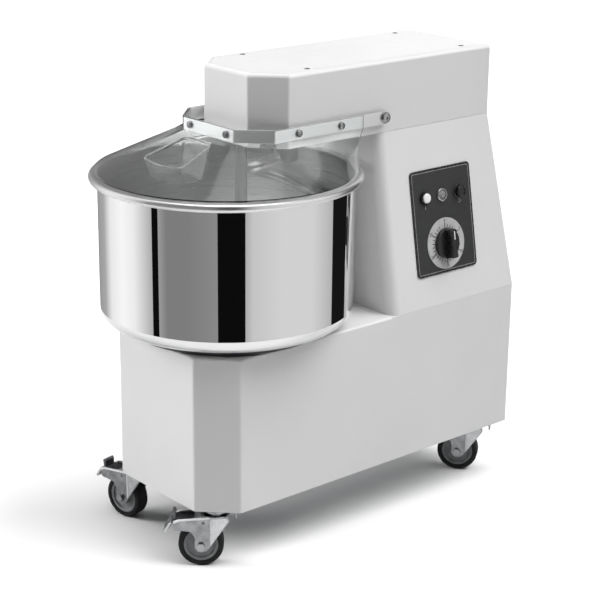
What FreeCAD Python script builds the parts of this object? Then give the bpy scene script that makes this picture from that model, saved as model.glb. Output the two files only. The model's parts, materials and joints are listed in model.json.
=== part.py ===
# Spiral dough mixer with a 41 litre bowl, on four braked swivel casters.
# Millimetres, +Z up, front towards -Y, control panel on the +X side.
# Every size is measured from the bowl's axis and the floor. save() then moves each part so that
# the origin is the middle of the machine's footprint.

import FreeCAD, Part

import math
import os

from FreeCAD import Placement, Rotation, Vector

# --- Whole machine -----------------------------------------------------------------------------
overall_depth = 815.0
sheet = 2.0                      # steel sheet of every casing
bend = 8.0                       # outer radius of the folded edges
inner_bend = bend - sheet
screw_hole = 2.5
screw_head = 4.5                 # at the face of the countersink
running_fit = 0.04               # radial clearance of a shaft in its bearing
free_gap = 0.3                   # clearance between neighbours that move past each other

# --- Base box ----------------------------------------------------------------------------------
base_half_width = 166.0
base_front = -160.0
base_chamfer = 58.0
base_bottom = 107.0
base_top = 391.0
floor_plate = 3.0

# --- Column ------------------------------------------------------------------------------------
column_front = 252.0
column_top = 721.0
column_top_half_width = 110.0
column_top_rear = 543.0
column_front_bend = 20.0
cover_margin = 22.0              # rear frame left round the rear cover
cover_lip = 16.0                 # how far the lip behind a cover reaches in
cover_gap = 1.0

# --- Head --------------------------------------------------------------------------------------
head_half_width = 110.0
head_front = -2.0
head_rear = 543.0
head_chamfer = 50.0
head_top = 851.0
lid_inset = 9.0                  # seam line inside the side walls
lid_play = 0.05                  # between a cover and the lip that it lies on

# --- Bowl --------------------------------------------------------------------------------------
rim_radius = 240.0
bowl_radius = 225.0
bowl_wall = 2.0
bowl_corner = 27.0
bowl_bottom = 407.0
bead_radius = 7.0
bead_height = 666.0
turntable_radius = 180.0
turntable_thickness = 14.0
turntable_flange_radius = 50.0
turntable_flange_depth = 4.5

# --- Tools in the bowl -------------------------------------------------------------------------
bar_radius = 11.0
bar_y = 32.0
bar_bottom = 438.0
spiral_y = 132.0
hook_bar_radius = 11.0
hook_coil_radius = 71.0
hook_root_radius = 10.0
hook_top = 688.0
hook_bottom = 446.0
hook_start_angle = 300.0
hook_sweep = 560.0               # the coil turns this far from hub to tip
hook_ease = 110.0                # and reaches its full radius over this much of it
hook_sections = 28
hub_radius = 24.0

# --- Drive -------------------------------------------------------------------------------------
shaft_radius = 15.0
drive_y = 325.0
motor_x = -40.0
motor_z = 480.0
chain_pitch = 12.7
roller_radius = 4.25
roller_length = 7.75
chain_plate = 1.5
chain_half_height = 5.5
lower_chain_z = 230.0
upper_chain_z = 833.0
bowl_teeth = 52
lower_pinion_teeth = 12
drive_teeth = 38
spiral_teeth = 18
bearing_radius = 31.0
bearing_width = 16.0
housing_radius = 42.0
housing_height = 90.0
flange_radius = 75.0
flange_thickness = 10.0

# --- Guard -------------------------------------------------------------------------------------
band_half_width = 119.0
band_front = -39.4
band_chamfer = 50.0
band_thickness = 3.0
band_bottom = 738.6
band_top = 761.4
pivot_y = 264.7
pivot_z = 750.0
pivot_radius = 5.0
arm_beyond_pivot = 12.0
clear_wall = 3.0
cover_rear_y = 209.8
cover_rim_radius = 232.0
cover_rim_z = 678.0
cover_rear_rake = 0.5            # the rear edge comes forward this much per mm downwards
# Where the cover's creases reach the rim, in degrees from +X, from the right side round to the left.
crease_angles = (62, -8, -58, -122, -172, -242)
# The filling chute at its foot and at its mouth: height, near and far edge in Y, their half widths.
chute_foot = (675.0, -136.0, -75.0, 48.0, 33.0)
chute_mouth = (745.0, -152.0, -58.5, 60.0, 41.0)

gearbox_half = 55.0
gearbox_motor_end = 75.0         # from the drive shaft to the gearbox's end by the motor
motor_radius = 58.0
motor_length = 155.0
motor_flange = 8.0
fan_cover_radius = 64.0
fan_cover_length = 38.0
bracket_half_width = 80.0
bracket_thickness = 8.0
bracket_top = 560.0

# --- Control panel, in the sloped right side of the column ---------------------------------------
panel_centre_y = 399.5
panel_centre_z = 543.5
panel_width = 155.0
panel_height = 197.0
panel_thickness = 2.0
button_row = 47.0                # above the panel's centre, along the slope
button_spacing = 44.0
dial_row = -44.0
dial_radius = 49.5
bezel_outer = 12.5
bezel_bore = 10.3
bezel_height = 5.5
pilot_bezel = 13.0
lens_radius = 8.5
mounting_hole = 11.0
knob_radius = 29.0
knob_base_height = 11.0
knob_height = 27.0
grip_half_width = 9.0
spindle_radius = 3.0
start_cap_radius = 10.0
stop_cap_radius = 12.0

# --- Casters -----------------------------------------------------------------------------------
wheel_radius = 40.0
tyre_width = 28.0
core_radius = 30.5
core_width = 24.0
axle_radius = 4.0
caster_trail = 26.0
leg_inner = 16.5
leg_thickness = 2.5
fork_top = 97.7
kingpin_radius = 5.0
pedal_pivot_x = 22.0
pedal_pivot_z = 85.0
pedal_pin_radius = 3.0
pedal_reach = 49.0               # from the axle back to the foot plate's fold
swivel_plate_radius = 24.0
caster_x = 118.0
caster_front_y = -120.0
caster_rear_y = 526.0
gland_y = 545.0
gland_thread = 10.0
# Name, swivel centre and the way its brake pedal points, in degrees from +X.
casters = [
    ("front_right", caster_x, caster_front_y, 230.0),
    ("front_left", -caster_x, caster_front_y, 192.0),
    ("rear_right", caster_x, caster_rear_y, 217.0),
    ("rear_left", -caster_x, caster_rear_y, 160.0),
]

# --- Worked out --------------------------------------------------------------------------------
base_rear = overall_depth - rim_radius
to_footprint_centre = Vector(0, rim_radius - overall_depth / 2, 0)
column_height = column_top - base_top
side_lean = (base_half_width - column_top_half_width) / column_height
rear_lean = (base_rear - column_top_rear) / column_height
lid_shelf = head_top - 2 * sheet
guard_middle = (band_bottom + band_top) / 2
drive_front = drive_y - gearbox_half
drive_back = drive_y + gearbox_half
turntable_top = bowl_bottom
turntable_bottom = turntable_top - turntable_thickness
head_floor_top = column_top + sheet
bar_top = head_floor_top + 28    # above the nut that holds the breaker bar
base_inner_top = base_top - sheet
up = Vector(0, 0, 1)


# --- Shape helpers -------------------------------------------------------------------------------
def save(name, *shapes):
    shape = shapes[0] if len(shapes) == 1 else Part.makeCompound(list(shapes))
    shape.translated(to_footprint_centre).exportStep("parts/" + name + ".step")


def box(x0, x1, y0, y1, z0, z1):
    return Part.makeBox(x1 - x0, y1 - y0, z1 - z0, Vector(x0, y0, z0))


def post(radius, z0, z1, x=0.0, y=0.0):
    return Part.makeCylinder(radius, z1 - z0, Vector(x, y, z0), up)


def rod(radius, start, end):
    return Part.makeCylinder(radius, (end - start).Length, start, end - start)


def fused(shapes):
    return shapes[0].multiFuse(shapes[1:]).removeSplitter()


def prism(points, z0, z1):
    corners = [Vector(x, y, z0) for x, y in points]
    return Part.Face(Part.makePolygon(corners + corners[:1])).extrude(up * (z1 - z0))


def hexagon(radius, x, y):
    turns = [math.radians(60 * corner) for corner in range(6)]
    return [(x + radius * math.cos(turn), y + radius * math.sin(turn)) for turn in turns]


def side_plate(points, y0, y1):
    """A plate in the XZ plane between y0 and y1."""
    corners = [Vector(x, y0, z) for x, z in points]
    return Part.Face(Part.makePolygon(corners + corners[:1])).extrude(Vector(0, y1 - y0, 0))


def upright_edges(shape, keep=lambda edge: True):
    """Edges that rise, upright or leaning."""
    found = []
    for edge in shape.Edges:
        rise = abs(edge.tangentAt(edge.FirstParameter).z)
        if rise > 0.9 and keep(edge):
            found.append(edge)
    return found


def edges_at(shape, height, keep=lambda edge: True):
    """Edges that lie level at a height."""
    found = []
    for edge in shape.Edges:
        level = edge.BoundBox.ZMax - edge.BoundBox.ZMin < 1e-6
        if level and abs(edge.BoundBox.ZMax - height) < 1e-6 and keep(edge):
            found.append(edge)
    return found


def chamfered_outline(half_width, front, rear, chamfer, inset=0.0):
    """A rectangle with its two front corners cut at 45 degrees, pulled in by inset."""
    side = half_width - inset
    cut = chamfer - inset * (2 - math.sqrt(2))
    near = front + inset
    far = rear - inset
    return [(side, far), (side, near + cut), (side - cut, near),
            (cut - side, near), (-side, near + cut), (-side, far)]


def rounded_plate(width, height, radius, z0, z1):
    plate = box(-width / 2, width / 2, -height / 2, height / 2, z0, z1)
    return plate.makeFillet(radius, upright_edges(plate))


def ring(outer, inner, z0, z1, x=0.0, y=0.0):
    return post(outer, z0, z1, x, y).cut(post(inner, z0 - 1, z1 + 1, x, y))


def frame_placement(origin, right, upward, outward):
    """Where a flat part goes: its X, Y and Z become right, upward and outward."""
    matrix = FreeCAD.Matrix(right.x, upward.x, outward.x, origin.x,
                            right.y, upward.y, outward.y, origin.y,
                            right.z, upward.z, outward.z, origin.z,
                            0, 0, 0, 1)
    return Placement(matrix)


def placed(shape, placement):
    moved = shape.copy()
    moved.Placement = placement.multiply(moved.Placement)
    return moved


def panel_placement():
    lean = math.atan(side_lean)
    upward = Vector(-math.sin(lean), 0, math.cos(lean))
    outward = Vector(math.cos(lean), 0, math.sin(lean))
    x = base_half_width - side_lean * (panel_centre_z - base_top)
    return frame_placement(Vector(x, panel_centre_y, panel_centre_z), Vector(0, 1, 0), upward, outward)


def rear_placement():
    lean = math.atan(rear_lean)
    upward = Vector(0, -math.sin(lean), math.cos(lean))
    outward = Vector(0, math.cos(lean), math.sin(lean))
    middle = (base_top + column_top) / 2
    y = base_rear - rear_lean * (middle - base_top)
    return frame_placement(Vector(0, y, middle), Vector(-1, 0, 0), upward, outward)


# --- Casings -------------------------------------------------------------------------------------
def base_shell():
    front_part = prism(chamfered_outline(base_half_width, base_front, column_front, base_chamfer),
                       base_bottom, base_top)
    front_part = front_part.makeFillet(
        bend, upright_edges(front_part, lambda edge: edge.CenterOfMass.y < column_front - 1))
    front_part = front_part.makeFillet(
        bend / 2, edges_at(front_part, base_top, lambda edge: edge.CenterOfMass.y < column_front - 1))
    rear_part = box(-base_half_width, base_half_width, column_front, base_rear, base_bottom, base_top)
    rear_part = rear_part.makeFillet(
        bend, upright_edges(rear_part, lambda edge: edge.CenterOfMass.y > column_front + 1))
    inside = prism(chamfered_outline(base_half_width, base_front, base_rear, base_chamfer, sheet),
                   base_bottom - 1, base_inner_top)
    inside = inside.makeFillet(inner_bend, upright_edges(inside))
    shell = fused([front_part, rear_part]).cut(inside)
    bowl_shaft_hole = post(shaft_radius + 7, base_inner_top - 1, base_top + 1)
    drive_shaft_hole = post(shaft_radius + 7, base_inner_top - 1, base_top + 1, 0, drive_y)
    return shell.cut(bowl_shaft_hole).cut(drive_shaft_hole)


def base_bottom_plate():
    plate = prism(chamfered_outline(base_half_width, base_front, base_rear, base_chamfer, sheet + free_gap),
                  base_bottom, base_bottom + floor_plate)
    plate = plate.makeFillet(inner_bend, upright_edges(plate))
    for _, x, y, _ in casters:
        plate = plate.cut(post(6.0, base_bottom - 1, base_bottom + floor_plate + 1, x, y))
    return plate.cut(post(gland_thread, base_bottom - 1, base_bottom + floor_plate + 1, 0, gland_y))


def column_loft(inset, beyond):
    """The tapered column, pulled in by inset and carried on past both ends by beyond."""
    sections = []
    for z in (base_top - beyond, column_top + beyond):
        rise = z - base_top
        side = base_half_width - side_lean * rise - inset
        rear = base_rear - rear_lean * rise - inset
        front = column_front + inset
        corners = [Vector(side, front, z), Vector(side, rear, z),
                   Vector(-side, rear, z), Vector(-side, front, z)]
        sections.append(Part.makePolygon(corners + corners[:1]))
    return Part.makeLoft(sections, True, True)


def rear_window(inset, depth0, depth1):
    """A tapered window in the column's rear, in the rear wall's own frame."""
    half_height = column_height / 2 - cover_margin - inset
    corners = []
    for end in (-1, 1):
        width = (base_half_width + column_top_half_width) / 2 - side_lean * end * half_height
        corners.append((width - cover_margin - inset, end * half_height))
    (low_x, low_z), (high_x, high_z) = corners
    return prism([(-low_x, low_z), (low_x, low_z), (high_x, high_z), (-high_x, high_z)], depth0, depth1)


def column_shell():
    outer = column_loft(0, 0)
    front_edges = upright_edges(outer, lambda edge: edge.CenterOfMass.y < column_front + 50)
    outer = outer.makeFillet(column_front_bend, front_edges)
    rear_edges = upright_edges(outer, lambda edge: edge.CenterOfMass.y > column_front + 200)
    outer = outer.makeFillet(bend, rear_edges)
    inner = column_loft(sheet, 1)
    inner = inner.makeFillet(column_front_bend - sheet, upright_edges(
        inner, lambda edge: edge.CenterOfMass.y < column_front + 50))
    inner = inner.makeFillet(inner_bend, upright_edges(
        inner, lambda edge: edge.CenterOfMass.y > column_front + 200))
    rear = rear_placement()
    lip = rear_window(-cover_lip / 2, -2 * sheet, -sheet / 2).cut(rear_window(cover_lip, -3 * sheet, 0))
    window = rear_window(0, -sheet - lid_play, sheet)
    shell = fused([outer.cut(inner), placed(lip, rear)]).cut(placed(window, rear))
    for x, y in rear_screw_places():
        shell = shell.cut(placed(post(screw_hole, -3 * sheet, 0, x, y), rear))
    panel = panel_placement()
    holes = [post(mounting_hole, -2 * sheet, sheet, column * button_spacing, button_row)
             for column in (-1, 0, 1)]
    holes.append(post(6.0, -2 * sheet, sheet, 0, dial_row))
    for hole in holes:
        shell = shell.cut(placed(hole, panel))
    return shell


def rear_cover():
    cover = rear_window(cover_gap, -sheet, 0)
    for side in (-1, 1):
        for row in range(9):
            slot = box(side * 48 - 32, side * 48 + 32, -3, 3, -sheet - 1, 1)
            slot.translate(Vector(0, -20 - row * 11, 0))
            cover = cover.cut(slot)
    for x, y in rear_screw_places():
        cover = cover.cut(countersink(x, y, 0))
    return placed(cover, rear_placement())


def head_shell():
    outline = (head_half_width, head_front, head_rear, head_chamfer)
    outer = prism(chamfered_outline(*outline), column_top, head_top)
    outer = outer.makeFillet(bend, upright_edges(outer))
    outer = outer.makeFillet(bend, edges_at(outer, head_top))
    inside = prism(chamfered_outline(*outline, sheet), head_floor_top, lid_shelf - sheet)
    inside = inside.makeFillet(inner_bend, upright_edges(inside))
    recess = prism(chamfered_outline(*outline, lid_inset), head_top - sheet - lid_play, head_top + 1)
    mouth = prism(chamfered_outline(*outline, lid_inset + cover_lip + 10), lid_shelf - 5, head_top + 1)
    shell = outer.cut(inside).cut(recess).cut(mouth)
    shaft_holes = [post(shaft_radius + 7, column_top - 1, head_floor_top + 1, 0, y)
                   for y in (spiral_y, drive_y)]
    bar_hole = post(bar_radius, column_top - 1, head_floor_top + 1, 0, bar_y)
    pivot_hole = rod(pivot_radius, Vector(-head_half_width - 1, pivot_y, pivot_z),
                     Vector(head_half_width + 1, pivot_y, pivot_z))
    for hole in shaft_holes + [bar_hole, pivot_hole]:
        shell = shell.cut(hole)
    for x, y in lid_screw_places():
        shell = shell.cut(post(screw_hole, lid_shelf - 5, head_top + 1, x, y))
    return shell


def head_lid():
    lid = prism(chamfered_outline(head_half_width, head_front, head_rear, head_chamfer,
                                  lid_inset + cover_gap), head_top - sheet, head_top)
    for x, y in lid_screw_places():
        lid = lid.cut(countersink(x, y, head_top))
    return lid


# --- Countersunk screws of the lid and the rear cover ----------------------------------------------
def lid_screw_places():
    return [(side * 88.0, y) for side in (-1, 1) for y in (107.0, 483.0)]


def rear_screw_places():
    return [(side * x, y) for side in (-1, 1) for x, y in ((130.0, -135.0), (88.0, 135.0))]


def countersink(x, y, z):
    cone = Part.makeCone(screw_hole, screw_head + sheet, 2 * sheet, Vector(x, y, z - sheet), up)
    return cone.fuse(post(screw_hole, z - 2 * sheet, z, x, y))


def countersunk_screw(x, y, z):
    head = Part.makeCone(screw_hole - 0.1, screw_head - 0.1, sheet, Vector(x, y, z - sheet), up)
    shank = post(screw_hole - 0.1, z - 12, z - sheet / 2, x, y)
    slot = box(x - 5, x + 5, y - 0.6, y + 0.6, z - 1, z + 1)
    return head.fuse(shank).cut(slot)


def cover_screws():
    screws = [countersunk_screw(x, y, head_top) for x, y in lid_screw_places()]
    rear = rear_placement()
    screws += [placed(countersunk_screw(x, y, 0), rear) for x, y in rear_screw_places()]
    return screws


# --- Control panel ---------------------------------------------------------------------------------
def control_panel():
    plate = rounded_plate(panel_width, panel_height, 8, 0, panel_thickness)
    for column in (-1, 0, 1):
        plate = plate.cut(post(mounting_hole, -1, 5, column * button_spacing, button_row))
    return plate.cut(post(4.0, -1, 5, 0, dial_row))


def dial_plate():
    return ring(dial_radius, 4.0, panel_thickness, panel_thickness + 1, 0, dial_row)


def button_bezel(column):
    x = column * button_spacing
    flange = ring(bezel_outer, bezel_bore, panel_thickness, bezel_height, x, button_row)
    neck = ring(mounting_hole, bezel_bore, -10, panel_thickness, x, button_row)
    return flange.fuse(neck)


def pilot_lamp():
    bezel = ring(pilot_bezel, lens_radius, panel_thickness, panel_thickness + 4, 0, button_row)
    neck = ring(mounting_hole, lens_radius, -10, panel_thickness, 0, button_row)
    lens = post(lens_radius, -10, panel_thickness + 2, 0, button_row)
    return bezel.fuse(neck), lens


def panel_switches():
    timer = box(-32, 32, dial_row - 32, dial_row + 32, -40, -5)
    timer = timer.cut(post(spindle_radius + running_fit, -30, 0, 0, dial_row))
    blocks = [box(x - 15, x + 15, button_row - 20, button_row + 20, -60, -14)
              for x in (-button_spacing, 0, button_spacing)]
    return [timer] + blocks


def timer_knob():
    base = post(knob_radius, panel_thickness + 1 + free_gap, knob_base_height, 0, dial_row)
    base = base.makeChamfer(1.5, edges_at(base, knob_base_height))
    reach = knob_radius - 0.5
    foot = knob_base_height - 1
    grip = box(-grip_half_width, grip_half_width, dial_row - reach, dial_row + reach, foot, knob_height)
    grip = grip.common(post(reach, foot, knob_height, 0, dial_row))
    spindle = post(spindle_radius, -20, panel_thickness + 2, 0, dial_row)
    return fused([base, grip, spindle])


def start_button():
    cap = post(start_cap_radius, -8, 10, -button_spacing, button_row)
    return cap.makeFillet(1.5, edges_at(cap, 10))


def stop_button():
    stem = post(8.0, -8, 10, button_spacing, button_row)
    cap = post(stop_cap_radius, 9.5, 16.5, button_spacing, button_row)
    cap = cap.makeFillet(4.0, edges_at(cap, 16.5))
    return stem.fuse(cap)


# --- Drive -----------------------------------------------------------------------------------------
def pitch_radius(teeth):
    return chain_pitch / (2 * math.sin(math.pi / teeth))


def sprocket(teeth, y, z, first_gap):
    """Toothed wheel with a hub. first_gap is the angle of one tooth gap, in degrees."""
    width = roller_length - 0.8
    rolling = pitch_radius(teeth)
    outer = rolling + 2.0
    seat = roller_radius + 0.5
    wheel = post(outer, -width / 2, width / 2)
    gaps = []
    for gap in range(teeth):
        angle = math.radians(first_gap) + 2 * math.pi * gap / teeth
        flare = seat + 3.0
        mouth = prism([(rolling, -seat), (outer + 1, -flare), (outer + 1, flare), (rolling, seat)],
                      -width, width)
        mouth.rotate(Vector(0, 0, 0), up, math.degrees(angle))
        gaps.append(mouth)
        gaps.append(post(seat, -width, width, rolling * math.cos(angle), rolling * math.sin(angle)))
    wheel = wheel.cut(Part.makeCompound(gaps))
    if rolling > 50:
        for hole in range(6):
            angle = math.radians(60 * hole)
            reach = (rolling + shaft_radius) / 2
            window = post(rolling / 6, -width, width, reach * math.cos(angle), reach * math.sin(angle))
            wheel = wheel.cut(window)
    hub = post(min(24.0, rolling - 6), -10, width / 2)
    wheel = wheel.fuse(hub).cut(post(shaft_radius, -20, 20))
    wheel.translate(Vector(0, y, z))
    return wheel


def belt_loop(y_a, radius_a, y_b, radius_b, z0, z1):
    """Solid inside a loop drawn tight round two circles."""
    lean = math.asin((radius_a - radius_b) / (y_b - y_a))
    x_a, x_b = radius_a * math.cos(lean), radius_b * math.cos(lean)
    touch_a, touch_b = y_a + radius_a * math.sin(lean), y_b + radius_b * math.sin(lean)
    right_a, right_b = Vector(x_a, touch_a, z0), Vector(x_b, touch_b, z0)
    left_a, left_b = Vector(-x_a, touch_a, z0), Vector(-x_b, touch_b, z0)
    edges = [
        Part.LineSegment(right_a, right_b).toShape(),
        Part.Arc(right_b, Vector(0, y_b + radius_b, z0), left_b).toShape(),
        Part.LineSegment(left_b, left_a).toShape(),
        Part.Arc(left_a, Vector(0, y_a - radius_a, z0), right_a).toShape(),
    ]
    return Part.Face(Part.Wire(edges)).extrude(up * (z1 - z0))


def seats_in_wrap(teeth, y, middle_angle, half_wrap):
    """Roller centres that sit in the tooth gaps, in order round the wrap."""
    step = 360.0 / teeth
    count = round(half_wrap / step)
    places = []
    for seat in range(-count, count + 1):
        angle = math.radians(middle_angle + seat * step)
        radius = pitch_radius(teeth)
        places.append(Vector(radius * math.cos(angle), y + radius * math.sin(angle), 0))
    return places


def span_places(start, end):
    """Roller centres evenly spaced between two seats."""
    count = max(1, round((end - start).Length / chain_pitch))
    return [start + (end - start) * (step / count) for step in range(1, count)]


def chain(teeth_a, y_a, teeth_b, y_b, z):
    radius_a, radius_b = pitch_radius(teeth_a), pitch_radius(teeth_b)
    lean = math.degrees(math.asin((radius_a - radius_b) / (y_b - y_a)))
    wrap_a = seats_in_wrap(teeth_a, y_a, 270, 90 + lean)
    wrap_b = seats_in_wrap(teeth_b, y_b, 90, 90 - lean)
    places = wrap_a + span_places(wrap_a[-1], wrap_b[0]) + wrap_b + span_places(wrap_b[-1], wrap_a[0])
    half = roller_length / 2
    bands = []
    for side in (-1, 1):
        z0 = z + side * half - (chain_plate if side < 0 else 0)
        outer = belt_loop(y_a, radius_a + chain_half_height, y_b, radius_b + chain_half_height,
                          z0, z0 + chain_plate)
        inner = belt_loop(y_a, radius_a - chain_half_height, y_b, radius_b - chain_half_height,
                          z0 - 1, z0 + chain_plate + 1)
        bands.append(outer.cut(inner))
    rollers = [post(roller_radius, z - half, z + half, place.x, place.y) for place in places]
    return bands[0].multiFuse(bands[1:] + rollers)


def bearing_housing(y, face, direction):
    """Flanged casting for two bearings, its flange against a plate at height face."""
    flange = post(flange_radius, 0, flange_thickness)
    body = flange.fuse(post(housing_radius, 0, housing_height))
    body = body.cut(post(20.0, -1, housing_height + 1))
    for z in (0, housing_height - bearing_width):
        pocket = post(bearing_radius + 0.05, z - 1, z + bearing_width)
        if z:
            pocket = post(bearing_radius + 0.05, z, z + bearing_width + 1)
        body = body.cut(pocket)
    for hole in range(6):
        angle = math.radians(60 * hole)
        body = body.cut(post(4.5, -1, flange_thickness + 1, 60 * math.cos(angle), 60 * math.sin(angle)))
    if direction < 0:
        body = body.mirror(Vector(0, 0, 0), up)
    body.translate(Vector(0, y, face))
    return body


def shaft_bearings():
    bearings = []
    for y, face, direction in ((0, base_inner_top, -1), (spiral_y, head_floor_top, 1)):
        for start in (0, housing_height - bearing_width):
            ends = sorted((face + direction * start, face + direction * (start + bearing_width)))
            body = ring(bearing_radius, shaft_radius + running_fit, ends[0], ends[1], 0, y)
            race = Part.makeTorus(23.0, 4.0, Vector(0, y, ends[0]), up)
            bearings.append(body.cut(race))
    return bearings


def gearbox():
    """Worm gearbox with the drive shaft through it and the motor's flange behind."""
    body = box(-gearbox_motor_end, gearbox_half, drive_front, drive_back,
               motor_z - gearbox_half, motor_z + gearbox_half)
    body = body.makeFillet(10, upright_edges(body))
    collar = post(32, motor_z - gearbox_half - 10, motor_z + gearbox_half + 10, 0, drive_y)
    behind = Vector(motor_x, drive_back, motor_z)
    flange = rod(60, behind, behind + Vector(0, motor_flange, 0))
    body = fused([body, collar, flange])
    return body.cut(post(shaft_radius + running_fit, motor_z - 80, motor_z + 80, 0, drive_y))


def motor():
    """Finned motor with its fan cover behind and a terminal box on top."""
    front = Vector(motor_x, drive_back + motor_flange, motor_z)
    back = Vector(0, 1, 0)
    body = rod(motor_radius, front, front + back * motor_length)
    fan_end = motor_length + motor_flange
    fan_cover = rod(fan_cover_radius, front + back * (fan_end - fan_cover_length), front + back * fan_end)
    terminal_box = box(motor_x - 35, motor_x + 35, front.y + 27, front.y + 102, motor_z + 40, motor_z + 95)
    fin = box(motor_x - 1, motor_x + 1, front.y + 7, front.y + 117,
              motor_z - fan_cover_radius, motor_z + fan_cover_radius)
    fins = []
    for turn in range(9):
        turned = fin.copy()
        turned.rotate(front, back, 20 * turn)
        fins.append(turned)
    return fused([body, fan_cover, terminal_box] + fins)


def drive_bracket():
    """Folded plate behind the gearbox's front face, on a foot with two low gussets."""
    face = drive_front - bracket_thickness
    foot_top = base_top + bracket_thickness
    wall = box(-bracket_half_width, bracket_half_width, face, drive_front, base_top, bracket_top)
    foot = box(-bracket_half_width, bracket_half_width, face, drive_back + 5, base_top, foot_top)
    gussets = [box(x, x + 6, drive_front, drive_y + 30, foot_top, foot_top + 16)
               for x in (-bracket_half_width, bracket_half_width - 6)]
    return fused([wall, foot] + gussets).cut(post(22, base_top - 1, foot_top + 1, 0, drive_y))


def drive_shaft():
    return post(shaft_radius, lower_chain_z - 15, upper_chain_z + 9, 0, drive_y)


def bowl_shaft():
    """Shaft with the flange that is let into the turntable's underside."""
    flange_top = turntable_bottom + turntable_flange_depth
    shaft = post(shaft_radius, lower_chain_z - 15, flange_top)
    return shaft.fuse(post(turntable_flange_radius, turntable_bottom, flange_top))


def spiral_shaft():
    return post(shaft_radius, hook_top - 4, upper_chain_z + 9, 0, spiral_y)


# --- Bowl and its tools ------------------------------------------------------------------------------
def bowl():
    outer = post(bowl_radius, bowl_bottom, bead_height)
    outer = outer.makeFillet(bowl_corner, edges_at(outer, bowl_bottom))
    inner = post(bowl_radius - bowl_wall, bowl_bottom + bowl_wall, bead_height + bead_radius)
    inner = inner.makeFillet(bowl_corner - bowl_wall, edges_at(inner, bowl_bottom + bowl_wall))
    bead_centre = rim_radius - bead_radius
    bead = Part.makeTorus(bead_centre, bead_radius, Vector(0, 0, bead_height), up)
    lip = ring(bead_centre, bowl_radius - bowl_wall, bead_height + bead_radius - bowl_wall,
               bead_height + bead_radius)
    neck = ring(bowl_radius, bowl_radius - bowl_wall, bead_height - 1, bead_height + bead_radius)
    return fused([outer.cut(inner), bead, lip, neck])


def bowl_turntable():
    disc = post(turntable_radius, turntable_bottom, turntable_top)
    disc = disc.makeChamfer(2.0, edges_at(disc, turntable_bottom))
    seat = post(turntable_flange_radius + running_fit, turntable_bottom - 1,
                turntable_bottom + turntable_flange_depth)
    return disc.cut(seat)


def breaker_bar():
    bar = post(bar_radius, bar_bottom, bar_top, 0, bar_y)
    bar = bar.makeFillet(4.0, edges_at(bar, bar_bottom))
    collar = post(20.0, column_top - 8, column_top, 0, bar_y)
    nut = prism(hexagon(19, 0, bar_y), head_floor_top, head_floor_top + 16)
    nut = nut.cut(post(bar_radius, head_floor_top - 1, head_floor_top + 17, 0, bar_y))
    return bar.fuse(collar), nut


def hook_centre(share):
    """Centre of the hook's bar: share runs from 0 at the hub to 1 at the tip."""
    turned = share * hook_sweep
    reach = min(1.0, turned / hook_ease)
    radius = hook_root_radius + (hook_coil_radius - hook_root_radius) * reach * reach * (3 - 2 * reach)
    angle = math.radians(hook_start_angle - turned)
    height = hook_top - (hook_top - hook_bottom) * share
    return Vector(radius * math.cos(angle), spiral_y + radius * math.sin(angle), height)


def spiral_hook():
    """Hub and a round bar coiled downwards, which pushes the dough down as it turns."""
    sections = []
    for step in range(hook_sections + 1):
        share = step / hook_sections
        along = hook_centre(share + 0.001) - hook_centre(share - 0.001)
        sections.append(Part.Wire(Part.makeCircle(hook_bar_radius, hook_centre(share), along)))
    coil = Part.makeLoft(sections, True, False)
    hub = post(hub_radius, hook_top - 18, hook_top + 22, 0, spiral_y)
    hub = hub.makeChamfer(3.0, edges_at(hub, hook_top - 18))
    return hub.fuse(coil).cut(post(shaft_radius, hook_top - 4, hook_top + 23, 0, spiral_y))


# --- Guard -----------------------------------------------------------------------------------------
def band_outline(inset, rear):
    return chamfered_outline(band_half_width, band_front, rear + inset, band_chamfer, inset)


def guard_band():
    rear = pivot_y + arm_beyond_pivot
    outer = prism(band_outline(0, rear), band_bottom, band_top)
    outer = outer.makeFillet(6, upright_edges(outer, lambda edge: edge.CenterOfMass.y < rear - 5))
    inner = prism(band_outline(band_thickness, rear + 20), band_bottom - 1, band_top + 1)
    inner = inner.makeFillet(3, upright_edges(inner, lambda edge: edge.CenterOfMass.y < rear - 5))
    band = outer.cut(inner)
    ends = [edge for edge in band.Edges
            if abs(edge.CenterOfMass.y - rear) < 1e-6 and abs(edge.tangentAt(edge.FirstParameter).x) > 0.9]
    band = band.makeFillet(11, ends)
    bore = rod(pivot_radius + running_fit, Vector(-band_half_width - 1, pivot_y, pivot_z),
               Vector(band_half_width + 1, pivot_y, pivot_z))
    band = band.cut(bore)
    for place, outward in guard_screw_places():
        band = band.cut(rod(2.5, place + outward * 5, place - outward * 8))
    return band


def cover_body(inset, rear):
    """Solid shape of the cover's skirt: an eight-sided top spread out to a circle at the rim."""
    half = band_half_width + clear_wall
    chamfer = band_chamfer + clear_wall * (2 - math.sqrt(2))
    outline = chamfered_outline(half, band_front - clear_wall, rear, chamfer, inset)
    top = [Vector(x, y, band_bottom) for x, y in outline]
    radius = cover_rim_radius - inset
    angles = [math.radians(degrees) for degrees in crease_angles]
    low = [Vector(radius * math.cos(a), radius * math.sin(a), cover_rim_z) for a in angles]
    top_edges, low_edges = [], []
    for corner in range(5):
        middle = (angles[corner] + angles[corner + 1]) / 2
        on_arc = Vector(radius * math.cos(middle), radius * math.sin(middle), cover_rim_z)
        top_edges.append(Part.LineSegment(top[corner], top[corner + 1]).toShape())
        low_edges.append(Part.Arc(low[corner], on_arc, low[corner + 1]).toShape())
    top_edges.append(Part.LineSegment(top[5], top[0]).toShape())
    low_edges.append(Part.LineSegment(low[5], low[0]).toShape())
    return Part.makeLoft([Part.Wire(top_edges), Part.Wire(low_edges)], True, True)


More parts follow.
